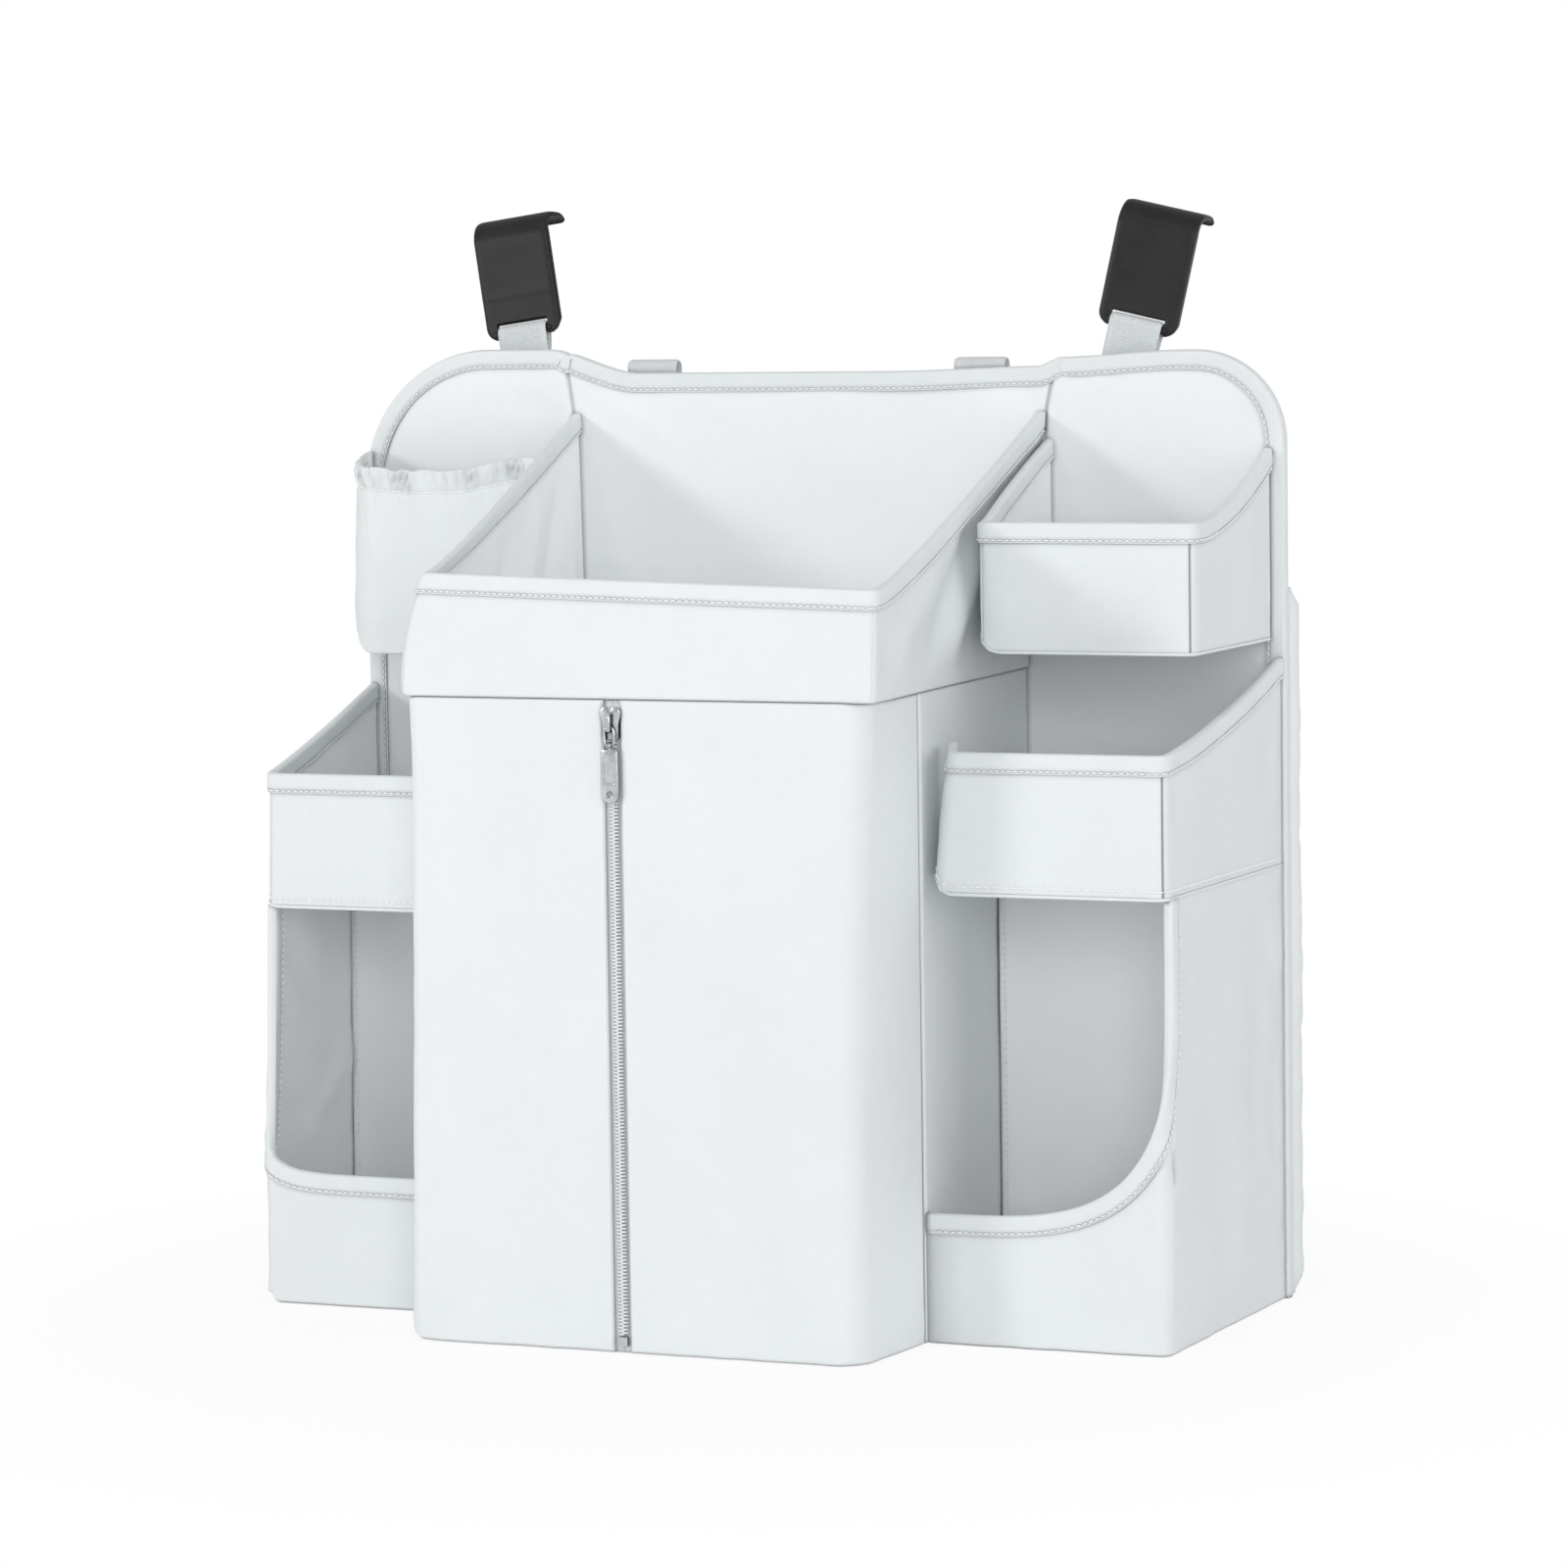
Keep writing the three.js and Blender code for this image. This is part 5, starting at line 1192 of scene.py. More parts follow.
def zip_pull():
    """A flat tab with a hole at its foot, a raised border and an eye for the link."""
    low, width, border_in = -25.0, 3.7, 0.95
    centre = (0, low + width)
    shoulder = [(1.3, -2.1), (width - 0.5, -2.3), (width - 0.2, -3.0)]
    head = [(-x, z) for x, z in reversed(shoulder)] + shoulder
    outline = head + arc_line(centre, width, 2 * math.pi, math.pi, 19).tolist()
    plate = flat_plate([outline, ring_line(centre, 1.7, 24)], -0.7, depth=1.4, bevel=0.32)
    side, upper, lower = width - border_in, -3.6, low + 2 * width + 0.6
    ridge = [(-side, upper), (side, upper), (side, lower), (-side, lower), (-side, upper)]
    border_line = [(x, -0.62, z) for x, z in refine(ridge, 1.5)[:-1]]
    border = tube_mesh(border_line, 0.34, 8, True, up=(0, 1, 0))
    circle = ring_line((0, 0), 1.32, 24)
    eyes = []
    for x in (-0.75, 0.0, 0.75):
        ring = np.stack([np.full(len(circle), x), circle[:, 0], circle[:, 1]], -1)
        eyes.append(tube_mesh(ring, 0.33, 8, True, up=(1, 0, 0)))
    neck = box_mesh((-1.2, -0.55, -2.6), (1.2, 0.55, -1.15))
    points, faces = gather_meshes([plate, border, *eyes, neck])
    make("zip_pull_tab", points + (ZIP_X, LINK_Y, PULL_Z), faces, METAL_LOOK, "pull", ("zip_pull",))


for edge, way in (("left", -1), ("right", 1)):
    zip_tape(edge, way)
    zip_coil(edge, way)
zip_slider()
zip_link()
zip_pull()


# Side pockets
def box_face(sign):
    return BOX_RIGHT + CLEARANCE if sign > 0 else BOX_LEFT - CLEARANCE


def in_order(points, sign):
    return points if sign > 0 else points[::-1]


def pocket_floor(name, plan, base, sag, seed, warp, closing=()):
    """A side pocket's floor, inside its walls."""
    outline = inner_outline(plan, plan.stations(0, plan.length, 8), EDGE_BACK_Y, closing)
    floor_sheet(f"{name}_floor_cloth", outline, base, CLOTH, (f"{name}_floor",), sag, seed, warp=warp)


def pocket_walls(name, skin, labels, corners, base, rim, seed):
    """A box pocket's walls between its corners, the tape along its rim and the piping along its foot."""
    end, half = skin.plan.length, CLEARANCE / 2
    starts, ends = [0, *(corner + half for corner in corners)], [*(corner - half for corner in corners), end]
    for label, s0, s1 in zip(labels, starts, ends):
        wall(f"{name}_{label}_cloth", skin, s0, s1, base, rim, PANEL, (f"{name}_{label}",))
    s = skin.plan.stations(0, end, 6)
    binding(f"{name}_tape", skin, np.stack([s, rim(s)], -1), PANEL, (f"{name}_binding",), seed)
    piping(f"{name}_piping", skin, base)


def left_lean(place):
    """The left pockets' outer side spreads towards the bottom and comes in towards the top."""
    x, y, z = np.moveaxis(place, -1, 0)
    share = ease((-150 - x) / 60) * np.clip((EDGE_BACK_Y - y) / SIDE_DEPTH, 0, 1)
    return moved(place, share * LEFT_SPREAD * (2 * z / LEFT_SPREAD_HEIGHT - 1))


def slanted(place, edge_x, base):
    """The middle right pocket's inner edge slants: it reaches further towards the box at the bottom."""
    x, _, z = np.moveaxis(place, -1, 0)
    rise = 2 * np.clip((z - base) / MID[1][0], 0, 1.1) - 1
    shift = MID_SLANT * rise * fade(x, edge_x, reach=60)
    inner = np.clip((x - edge_x + MID_GAP) / MID_GAP, 0, 1)
    return moved(place, np.where(shift < 0, shift * inner, shift))


def middle_pocket(sign):
    """A box pocket at half height, which steps back from the centre compartment."""
    name, seed = ("mid_right", 71) if sign > 0 else ("mid_left", 76)
    base = LOWER[sign][0]
    front, back, power = MID[sign]
    beside = box_face(sign) + sign * (PROUD + CLEARANCE)
    corners = [
        (beside, SIDE_FRONT_Y + MID_RETURN), (beside + sign * MID_GAP, SIDE_FRONT_Y),
        (sign * SIDE_FRONT_X, SIDE_FRONT_Y), (sign * SIDE_BACK_X, EDGE_BACK_Y),
    ]
    plan = Plan(in_order(corners, sign), SIDE_CORNER)
    split = plan.corner(2) if sign > 0 else plan.corner(1)
    edge_x = beside + MID_GAP - MID_SLANT if sign > 0 else -SIDE_FRONT_X
    rounding = round_bottom(edge_x, base, MID_ROUND[sign], SIDE_FRONT_Y)

    def rim(s):
        t = np.clip((plan.at(s)[0][..., 1] - SIDE_FRONT_Y) / SIDE_DEPTH, 0, 1)
        return base + front + (back - front) * t ** power - PROUD

    def relief(s, z):
        top, tail = rim(s), plan.length - s if sign > 0 else s
        away = hold(s, (split, 0, plan.length), reach=14) * within(z, base, top, rise=10, fall=12)
        puff = 0.9 * within(z, base, top, rise=18, fall=18)
        pucker = 0.8 * field(s / 4.5, z / 11, seed + 3) * fade(tail, 6, reach=22) * ease(tail / 5)
        pucker = pucker * within(z, base, top, rise=6, fall=10)
        return away * (wrinkle(s, z, seed, amount=1.0) + puff) + pucker

    def warp(place):
        return rounding(slanted(place, beside + MID_GAP, base) if sign > 0 else left_lean(place))

    skin, low = Skin(plan, relief, warp), base + 3.4
    pocket_walls(name, skin, in_order(("front", "side"), sign), [split], base, rim, seed + 4)
    stitches(f"{name}_low_stitches", skin, refine([(4.0, low), (plan.length - 4.0, low)]), 0.0)
    back_corner = [(box_face(sign), EDGE_BACK_Y)]
    pocket_floor(name, plan, base, sag=0.3, seed=seed + 5, warp=warp, closing=back_corner)


def lower_pocket(sign):
    """A wall that wraps round the corner, with a rounded opening in its front."""
    name, seed = ("lower_right", 81) if sign > 0 else ("lower_left", 86)
    height, sill, power = LOWER[sign]
    top = height - CLEARANCE
    outside = [(sign * SIDE_FRONT_X, SIDE_FRONT_Y), (sign * SIDE_BACK_X, EDGE_BACK_Y)]
    plan = Plan(in_order([(box_face(sign), SIDE_FRONT_Y)] + outside, sign), SIDE_CORNER)
    end = plan.length
    corner = plan.breaks[2] if sign > 0 else end - plan.breaks[1]
    side = end - corner
    rounding = round_bottom(-SIDE_FRONT_X, 0.0, LOWER_ROUND, SIDE_FRONT_Y)
    folds = (
        ((side - 8, 168), (side - 70, 120), 7, 1.8),
        ((side - 30, 62), (side - 105, 112), 8, -2.2),
        ((side - 14, 90), (side - 80, 70), 7, 1.6),
    )

    def from_box(s):
        return s if sign > 0 else end - s

    def rim(s):
        across = np.clip(from_box(s) / corner, 0, 1)
        down = np.maximum(1 - across ** power, 0) ** (1 / power)
        return np.where(from_box(s) >= corner, top, top - (top - sill) * down)

    def relief(s, z):
        along, upper = from_box(s), rim(s)
        tail = end - along
        away = within(z, 0, upper, rise=18, fall=14) * within(along, 0, end, rise=10, fall=12)
        hem = 0.45 * field(s / 12, 0.3, seed + 3) * np.exp(-z / 8) * ease(along / 10)
        pucker = 1.1 * field((s + 0.6 * z) / 9, z / 26, seed + 7) * within(z, 0, upper, rise=12, fall=12)
        pucker = pucker * ease(tail / 6) * fade(tail, 10, reach=34)
        fold = creases(s, z, folds) if sign < 0 else 0
        return away * (wrinkle(s, z, seed, amount=1.6) + fold) + hem + pucker

    def warp(place):
        return place if sign > 0 else rounding(left_lean(place))

    skin = Skin(plan, relief, warp)
    angle = (1 - np.linspace(0, 1, 61)) * math.pi / 2
    along = corner * np.cos(angle) ** (2 / power)
    rise = top - (top - sill) * np.sin(angle) ** (2 / power)
    rest = np.linspace(corner, end, 26)[1:]
    columns = np.concatenate([along, rest])
    highs = np.concatenate([rise, np.full(rest.shape, top)])
    keep = np.concatenate([[True], np.diff(columns) > 1e-4])
    s, high = from_box(columns[keep]), highs[keep]
    order = np.argsort(s)
    across, share = grid(s[order], spread(0.0, top, 4.0) / top)
    z = high[order][:, None] * share
    sink = 0.8 * fade(z, 0, TUCK_WIDTH)
    sew_panel(f"{name}_cloth", skin, across, z, PANEL, sink, (f"{name}_wall",), CLOTH_LOOK)
    edge = in_order(np.stack([from_box(along), rise], -1), sign)
    apart = np.concatenate([[True], np.linalg.norm(np.diff(edge, axis=0), axis=1) > 0.05])
    binding(f"{name}_tape", skin, edge[apart], PANEL, (f"{name}_binding",), seed + 4)
    back_corner = [(box_face(sign), EDGE_BACK_Y)]
    pocket_floor(name, plan, 0, sag=0.2, seed=seed + 5, warp=warp, closing=back_corner)
    lower_lining(name, sign, top, seed + 6)


def lower_lining(name, sign, top, seed):
    """The cloth wall at the back of a lower compartment, stitched along both sides."""
    end = (LINING_Y - SIDE_FRONT_Y) / (EDGE_BACK_Y - SIDE_FRONT_Y)
    side_x = mix(SIDE_FRONT_X, SIDE_BACK_X, end) - PANEL - 2 * CLEARANCE
    left, right = sorted([box_face(sign), sign * side_x])
    plan = Plan([(left, LINING_Y), (right, LINING_Y)])

    def relief(s, z):
        away = hold(s, (0, plan.length), reach=12) * within(z, 0, top, rise=14, fall=14)
        return away * wrinkle(s, z, seed, amount=2.2, lean=0.35)

    skin = Skin(plan, relief, None if sign > 0 else left_lean)
    low = CLOTH + CLEARANCE
    # The lining wall takes the paler copy of the cloth: painted light.
    lining = wall(f"{name}_lining", skin, 0, plan.length, low, top, CLOTH, (f"{name}_back_wall",),
                  tuck=(0.4, 0.4, 0.3, 0.3), look=INSIDE_PAINTED_LIGHT_LOOK)
    for label, s in (("a", 2.6), ("b", plan.length - 2.6)):
        stitches(f"{name}_lining_stitches_{label}", skin, refine([(s, low + 4), (s, top - 4)]), 0.0)


def upper_right_pocket():
    """The small box pocket at the top right."""
    depth, low_rim, base = UPPER_RIGHT["depth"], UPPER_RIGHT["front"], UPPER_RIGHT["floor"]
    front_y, (inner_front, inner_back) = BACK_Y - depth, (BIN_RIGHT + gap for gap in UPPER_RIGHT_GAP)
    corners = [
        (inner_back, INNER_BACK_Y), (inner_front, front_y),
        (SIDE_FRONT_X, front_y), (BACK_HALF - UPPER_RIGHT["inset"], EDGE_BACK_Y),
    ]
    plan = Plan(corners, SIDE_CORNER)
    front, side = plan.corner(1), plan.corner(2)

    def rim(s):
        past = plan.at(s)[0][..., 1] - front_y - SIDE_CORNER
        t = soft_start(np.clip(past / (depth - SIDE_CORNER), 0, 1), 0.08)
        inner, outer = (low_rim + (back - low_rim) * t ** power
                        for back, power in (UPPER_RIGHT_INNER, UPPER_RIGHT_OUTER))
        return base + np.where(s < front, inner, outer) - PROUD

    def relief(s, z):
        top, tail, up = rim(s), plan.length - s, z - base
        away = hold(s, (0, front, side, plan.length), reach=12) * within(z, base, top, rise=9, fall=12)
        puff = 0.9 * within(z, base, top, rise=16, fall=16)
        pucker = 1.6 * field(s / 4.5, z / 7, 94) * fade(tail, 5, reach=18) * fade(up, 14, reach=22)
        return away * (wrinkle(s, z, 91, amount=0.9) + puff) + pucker * ease(tail / 4) * ease(up / 4)

    warp = round_bottom(inner_front, base, UPPER_RIGHT_ROUND, front_y)
    labels = ("inner_side", "front", "side")
    pocket_walls("upper_right", Skin(plan, relief, warp), labels, [front, side], base, rim, seed=95)
    pocket_floor("upper_right", plan, base, sag=0.3, seed=96, warp=warp)


def upper_left_pocket():
    """The gathered pocket at the top left, with its elastic behind the hem."""
    inner, front_y = BIN_LEFT - UPPER_LEFT["gap"], BACK_Y - UPPER_LEFT["depth"]
    base, top = UPPER_LEFT["floor"], UPPER_LEFT["floor"] + UPPER_LEFT["height"]
    hem_z, corners = top - HEM, [(-SIDE_BACK_X, EDGE_BACK_Y), (-SIDE_FRONT_X, front_y), (inner, front_y)]
    plan = Plan(corners, UPPER_LEFT["corner"])
    rounding = round_bottom(-SIDE_FRONT_X, base, UPPER_LEFT_ROUND, front_y)

    def ruffle(s):
        phase = s / 6.2 + 1.9 * field(s / 12, 0.2, 101)
        wave = np.sin(2 * math.pi * phase) + 0.7 * field(s / 1.9, 0.6, 106)
        return (0.7 + 0.5 * field(s / 13, 0.7, 102)) * wave

    def relief(s, z):
        hem = bell(z - top + 4.0, width=5.0) + 0.22 * ease((z - base - 40) / 45)
        gather = 1.5 * ruffle(s + 0.25 * (z - top)) * hem - 1.1 * bell(z - hem_z, width=1.5)
        uneven = within(z, base, top, rise=12, fall=25) * wrinkle(s, z, 103, amount=1.1)
        sag = 1.4 * within(z, base, top - 12, rise=20, fall=30)
        return within(s, 0, plan.length, rise=12, fall=12) * (gather + uneven + sag)

    def warp(place):
        """The gathered rim dips in the middle, rises to the right and ripples along its top."""
        x, y, z = np.moveaxis(place, -1, 0)
        share = np.clip((x + SIDE_FRONT_X) / (inner + SIDE_FRONT_X), 0, 1)
        shape = 4.0 * ease((share - 0.5) / 0.5) - 2.6 * np.sin(math.pi * np.clip(share / 0.85, 0, 1))
        side = ease((-200 - x) / 12) * ease((y - front_y) / 40)
        ripple = 0.9 * field(x / 5.0, 0.4, 104) * ease((z - top + 6) / 6)
        lift = ease((z - base - 30) / 45) * (shape + 4.5 * side) + ripple
        return rounding(moved(place, 1.8 * (1 - share) * ease((z - base) / 40), lift))

    skin, tuck = Skin(plan, relief, warp), (0.3, 0.3, 0.5, 0.0)
    cloth = ("upper_left_pocket",)
    pocket = wall("upper_left_cloth", skin, 0, plan.length, base, top, CLOTH, cloth, tuck, step=1.3)
    line = refine([(3.0, hem_z), (plan.length - 3.0, hem_z)], 1.0)
    stitches("upper_left_stitches", skin, line, 0.0, pitch=2.7)

    def behind(s, z):
        """The elastic stays behind the cloth wherever the ruffles come in."""
        return np.minimum(relief(s, z), relief(s, np.full_like(z, top - 4)))

    flat, start = Skin(plan, behind, warp), -CLOTH - CLEARANCE
    s, z = grid(np.linspace(12, plan.length - 10, 160), hem_z + np.linspace(0, ELASTIC_WIDTH, 9))
    lay_sheet("upper_left_elastic_band", flat.put(s, z, start), flat.put(s, z, start - ELASTIC), s, z,
              ELASTIC_LOOK, ("upper_left_elastic",))
    back_corner = [(inner, EDGE_BACK_Y)]
    pocket_floor("upper_left", plan, base, sag=0.3, seed=105, warp=rounding, closing=back_corner)


for way in (1, -1):
    middle_pocket(way)
    lower_pocket(way)
upper_right_pocket()
upper_left_pocket()


# Straps, hooks and loops
WEBBING_RIB, WEBBING_PITCH = 0.15, 1.5
HOOK_LEGS = np.array([0, 0.12, 0.3, 0.55, 0.8, 1])


def off_line(line, x, offset):
    """Points beside a line in Y and Z, moved off it by offset, at x across."""
    along = unit(np.gradient(line, axis=0))
    normal = np.stack([-along[:, 1], along[:, 0]], -1)
    return np.concatenate([x[..., None], line[:, None] + normal[:, None] * offset[..., None]], -1)


def band(name, centre, width, thick, matrix, body, node):
    """Woven webbing along a line in Y and Z, with fine cross ribs and rounded edges."""
    line = refine(centre, 0.33)
    run, x = grid(distances(line), spread(-width / 2, width / 2, 0.45))
    turn = 2 * math.pi / WEBBING_PITCH
    rib = WEBBING_RIB * np.sin(turn * run) * np.sin(turn * x)
    offset = thick / 2 - 0.4 * thick * fade(width / 2 - np.abs(x), 0, reach=1.2) + rib - WEBBING_RIB
    front, back = (off_line(line, x, way * offset) for way in (1, -1))
    points, faces, uv = sheet_mesh(front, back, np.stack([run, x], -1))
    make(name, turned(points, matrix), faces, WEBBING_LOOK, body, (node,), uv)


def turned(points, matrix):
    """Points moved by a matrix."""
    m = np.array(matrix)
    return points @ m[:3, :3].T + m[:3, 3]


def over_bar(bar, thick, long, short):
    """Webbing that goes up, over a bar and down again, in Y and Z from the bar's middle."""
    turn = bar + CLEARANCE + thick / 2
    beside = -turn + thick + CLEARANCE
    return np.concatenate([
        [(-turn, -long)], arc_line((0, 0), turn, math.pi, 0, 25),
        [(mix(turn, beside, ease(t)), -short / 2 * t) for t in np.linspace(0.1, 1, 10)], [(beside, -short)],
    ])


def hook_line():
    """The hook's centre line in Y and Z, from below its bar to its tip."""
    half, curl, upright = HOOK_PLATE / 2, math.radians(HOOK_CURL), math.pi / 2
    bend = HOOK_BEND - half
    level = HOOK_HEIGHT - half - bend
    rear = HOOK_DEPTH - half - HOOK_BEND * math.sin(curl)
    return np.concatenate([
        [(0, -HOOK_FOOT), (0, HOOK_SLOT), (0, level)],
        arc_line((bend, level), bend, math.pi, upright, 22)[1:],
        arc_line((rear, level), bend, upright, upright - curl, 22),
    ])


def rounded_end(past, radius):
    """How far a plate's side draws in near an end with round corners."""
    return radius * (1 - np.sqrt(1 - (1 - np.clip(past / radius, 0, 1)) ** 2))


def plate_faces(cells):
    """Faces of a plate with two sides of points, kept where cells is true, and its open rim's faces."""
    count = (cells.shape[0] + 1) * (cells.shape[1] + 1)
    quads = grid_faces(cells.shape[0] + 1, cells.shape[1] + 1)[cells]
    seen = {(p, q) for quad in quads.tolist() for p, q in zip(quad, quad[1:] + quad[:1])}
    open_edges = [(p, q) for p, q in sorted(seen) if (q, p) not in seen]
    rim = [[q, p, p + count, q + count] for p, q in open_edges]
    return quads.tolist() + (quads[:, ::-1] + count).tolist(), rim


def hook_sides():
    """Rows of points on the hook's front and back, from foot to tip, and the first row above its slot."""
    line, slot, wide = refine(hook_line(), 0.8), HOOK_SLOT_HALF, HOOK_WIDTH / 2
    run = distances(line) - HOOK_FOOT
    tip = run[-1]
    ends = [rounded_end(run + HOOK_FOOT, HOOK_FOOT_CORNER), rounded_end(tip - run, HOOK_TIP_CORNER)]
    limit = np.where(run < HOOK_SLOT + 1, wide - slot - 1.4, wide)
    reach = (wide - np.minimum(np.max(ends, axis=0), limit))[:, None]
    left = -reach + (reach - slot) * HOOK_LEGS
    middle = np.linspace(-slot, slot, 13)[1:-1] + 0 * reach
    x = np.concatenate([left, middle, -left[:, ::-1]], axis=1)
    first = int(np.argmax(run > HOOK_SLOT - 0.01))
    run, inside = run[:, None], reach - np.abs(x)
    thin = HOOK_PLATE * (1 - 0.85 * ease((run - tip + HOOK_TAPER) / HOOK_TAPER)) / 2
    step = -0.12 * fade(run, 15.0, reach=2.4) - 0.03 * bell(run - 16.0, width=0.7)
    dish = -0.25 * np.cos(np.clip(x / wide, -1, 1) * math.pi / 2) * within(run, 18, 42, rise=4, fall=8)
    flange = (inside < HOOK_FLANGE_WIDTH) * fade(run, 44, reach=9) * ease((run - 1) / 3)
    front = off_line(line, x, thin + step + dish - 0.45 * fade(inside, 0, reach=1.4))
    back = off_line(line, x, -thin - (HOOK_FLANGE - HOOK_PLATE) * flange)
    legs = len(HOOK_LEGS) - 1
    back[first, legs:-legs, 2] = HOOK_BAR + 2 * CLEARANCE + WEBBING
    return front, back, first


def hook(name, matrix, body, node):
    """A moulded hook: a plate with a slot and a bar below, turned-back sides and a tapered tip."""
    front, back, first = hook_sides()
    cells, legs = np.ones((front.shape[0] - 1, front.shape[1] - 1), bool), len(HOOK_LEGS) - 1
    cells[:first, legs:-legs] = False
    flat, rim = plate_faces(cells)
    used = sorted({i for face in flat + rim for i in face})
    renumber = {old: new for new, old in enumerate(used)}
    faces = [[renumber[i] for i in face] for face in flat + rim]
    points = np.concatenate([front.reshape(-1, 3), back.reshape(-1, 3)])[used]
    bar_x = np.linspace(-HOOK_SLOT_HALF - 1.5, HOOK_SLOT_HALF + 1.5, 12)
    bar = tube_mesh(np.stack([bar_x, 0 * bar_x, 0 * bar_x], -1), HOOK_BAR - 0.1, 16)
    points, faces = gather_meshes([(points, faces), bar])
    piece = make(name, turned(points, matrix), faces, BLACK_LOOK, body, (node,))
    # The hook's rim faces take the darker copy of the black: painted shade on its sides.
    piece.data.materials.append(SIDE_PAINTED_SHADE_LOOK)
    for face in piece.data.polygons[len(flat):len(flat) + len(rim)]:
        face.material_index = 1
    soften(piece, width=0.4, angle=50)


def hanging_straps():
    """The two straps over their hooks' bars, and the tabs that hold the adjusters."""
    turn = HOOK_BAR + CLEARANCE + WEBBING / 2
    tab_y = -turn - WEBBING / 2 - 2 * CLEARANCE - TAB_WEBBING - ADJUSTER_BAR
    strap = over_bar(HOOK_BAR, WEBBING, STRAP_TAIL, STRAP_RETURN)
    tab = over_bar(ADJUSTER_BAR, TAB_WEBBING, TAB_LONG, TAB_SHORT)
    for side, (x, splay) in STRAPS.items():
        matrix = Matrix.Translation((x, STRAP_Y, STRAP_TOP)) @ Matrix.Rotation(math.radians(splay), 4, "Y")
        name, node = f"strap_{side}_webbing", f"strap_{side}"
        band(name, strap, WEBBING_WIDTH, WEBBING, matrix, f"{side}_strap", node)
        hook(f"hook_{side}_moulding", matrix, f"{side}_hook", f"hook_{side}")
        at = matrix @ Matrix.Translation((0, tab_y, -ADJUSTER_DROP))
        name, node = f"adjuster_tab_{side}_webbing", f"adjuster_tab_{side}"
        band(name, tab, WEBBING_WIDTH - 3, TAB_WEBBING, at, "caddy", node)


def tie_loops():
    """Two flat loops of webbing behind the back's upper edge."""
    turn = TIE_BEND + WEBBING / 2
    y = REAR_Y + PROUD + CLEARANCE + WEBBING / 2 + turn
    top = float(outline_top(np.array(TIE_X), 0.0)) + TIE_PEEK - turn - WEBBING / 2
    over = arc_line((0, 0), turn, math.pi, 0, 25)
    line = np.concatenate([[(-turn, -TIE_LENGTH)], over, [(turn, -TIE_LENGTH)]])
    for side, x in (("left", -TIE_X), ("right", TIE_X)):
        matrix = Matrix.Translation((x, y, top))
        band(f"tie_loop_{side}_webbing", line, WEBBING_WIDTH, WEBBING, matrix, "caddy", f"tie_loop_{side}")


hanging_straps()
tie_loops()


# Solids that show as they are
for node, look in (("back_board", BOARD_LOOK), ("box_floor_board", BOARD_LOOK), ("adjuster_left", GREY_LOOK),
                   ("adjuster_right", GREY_LOOK), ("zip_bottom_stop", METAL_LOOK)):
    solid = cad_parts[node]
    solid.data.materials.clear()
    solid.data.materials.append(look)
    soften(solid, width=0.35, angle=40)


# Floor, backdrop and light
def stage_material(name):
    """White to the camera and to reflections, apart from the object's shadow close to it."""
    made = bpy.data.materials.new(name)
    made.use_nodes = True
    nodes, links = made.node_tree.nodes, made.node_tree.links
    nodes.clear()
    output = nodes.new("ShaderNodeOutputMaterial")
    diffuse, glow = nodes.new("ShaderNodeBsdfDiffuse"), nodes.new("ShaderNodeEmission")
    diffuse.inputs["Color"].default_value = (0.86, 0.86, 0.86, 1)
    seen = seen_node(nodes, links, ("Camera", "Glossy", "Transmission"))
    reach = nodes.new("ShaderNodeVectorMath")
    reach.operation = "LENGTH"
    links.new(nodes.new("ShaderNodeTexCoord").outputs["Object"], reach.inputs[0])
    away = range_node(nodes, links, reach.outputs["Value"], 0.9, 1.0, 0.22, 0.45)
    choose = nodes.new("ShaderNodeMixShader")
    links.new(math_node(nodes, links, "MULTIPLY", seen, away), choose.inputs["Fac"])
    links.new(diffuse.outputs[0], choose.inputs[1])
    links.new(glow.outputs[0], choose.inputs[2])
    links.new(choose.outputs[0], output.inputs["Surface"])
    return made


def seen_node(nodes, links, rays):
    """1 for the given kinds of ray, and 0 for the light that reaches the object."""
    path = nodes.new("ShaderNodeLightPath")
    seen = path.outputs[f"Is {rays[0]} Ray"]
    for ray in rays[1:]:
        seen = math_node(nodes, links, "MAXIMUM", seen, path.outputs[f"Is {ray} Ray"])
    return seen


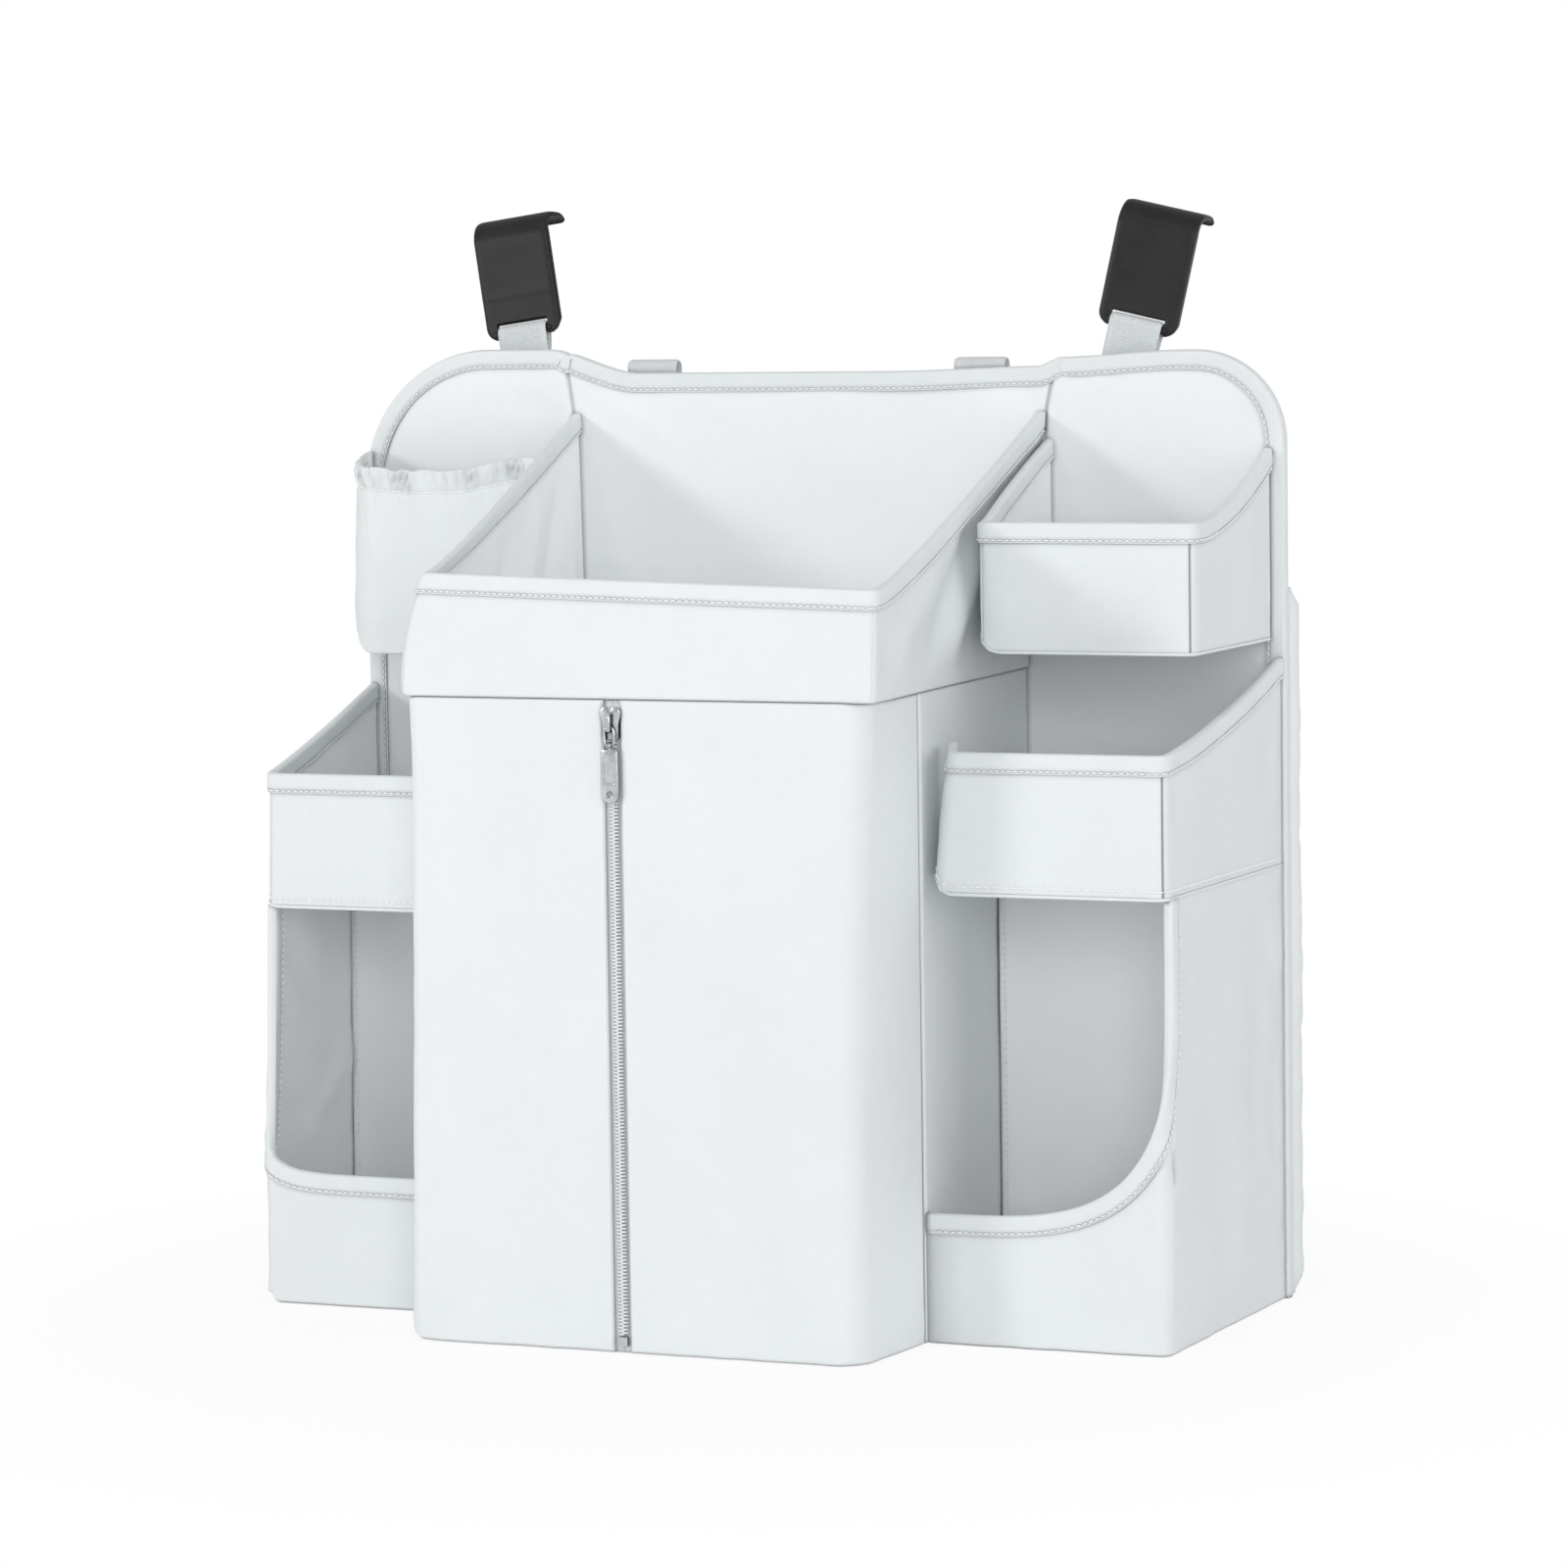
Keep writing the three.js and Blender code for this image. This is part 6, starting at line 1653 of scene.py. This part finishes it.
def build_floor():
    """A wide floor just below the object."""
    size, drop = 12.0, 0.0006
    corners = [(-size, -size, -drop), (size, -size, -drop), (size, size, -drop), (-size, size, -drop)]
    mesh = bpy.data.meshes.new("floor")
    mesh.from_pydata(corners, [], [[0, 1, 2, 3]])
    mesh.materials.append(stage_material("floor"))
    floor = bpy.data.objects.new("floor", mesh)
    bpy.context.scene.collection.objects.link(floor)


def build_world():
    """A white background, and a softer white that lights the object."""
    world = bpy.data.worlds.new("studio")
    bpy.context.scene.world = world
    world.use_nodes = True
    nodes, links = world.node_tree.nodes, world.node_tree.links
    nodes.clear()
    output, choose = nodes.new("ShaderNodeOutputWorld"), nodes.new("ShaderNodeMixShader")
    for socket, strength in ((1, 0.55), (2, 1.0)):
        light = nodes.new("ShaderNodeBackground")
        light.inputs["Color"].default_value = (1, 1, 1, 1)
        light.inputs["Strength"].default_value = strength
        links.new(light.outputs[0], choose.inputs[socket])
    links.new(seen_node(nodes, links, ("Camera", "Transmission")), choose.inputs["Fac"])
    links.new(choose.outputs[0], output.inputs["Surface"])


# Name, azimuth and elevation in degrees, distance and size in metres, power in watts
LAMPS = (
    ("front", 22, 13, 2.8, 1.1, 18.3),
    ("right", 78, 12, 2.6, 1.4, 13.0),
    ("key", -38, 11, 2.0, 0.35, 9.0),
    ("top", -21.5, 48, 2.0, 0.25, 2.5),
)


def build_lamps():
    """Four square lamps, all aimed at the object's middle."""
    aim = Vector((0, 0, 0.25))
    for name, azimuth, elevation, distance, across, power in LAMPS:
        data = bpy.data.lights.new(name, "AREA")
        data.shape, data.size, data.energy = "SQUARE", across, power
        lamp = bpy.data.objects.new(name, data)
        turn, rise = math.radians(azimuth), math.radians(elevation)
        level = Vector((math.sin(turn), -math.cos(turn), 0))
        away = level * math.cos(rise) + Vector((0, 0, math.sin(rise)))
        lamp.location = aim + away * distance
        lamp.rotation_euler = (-away).to_track_quat("-Z", "Y").to_euler()
        bpy.context.scene.collection.objects.link(lamp)


build_floor()
build_world()
build_lamps()
bpy.context.scene.view_settings.view_transform = "Standard"
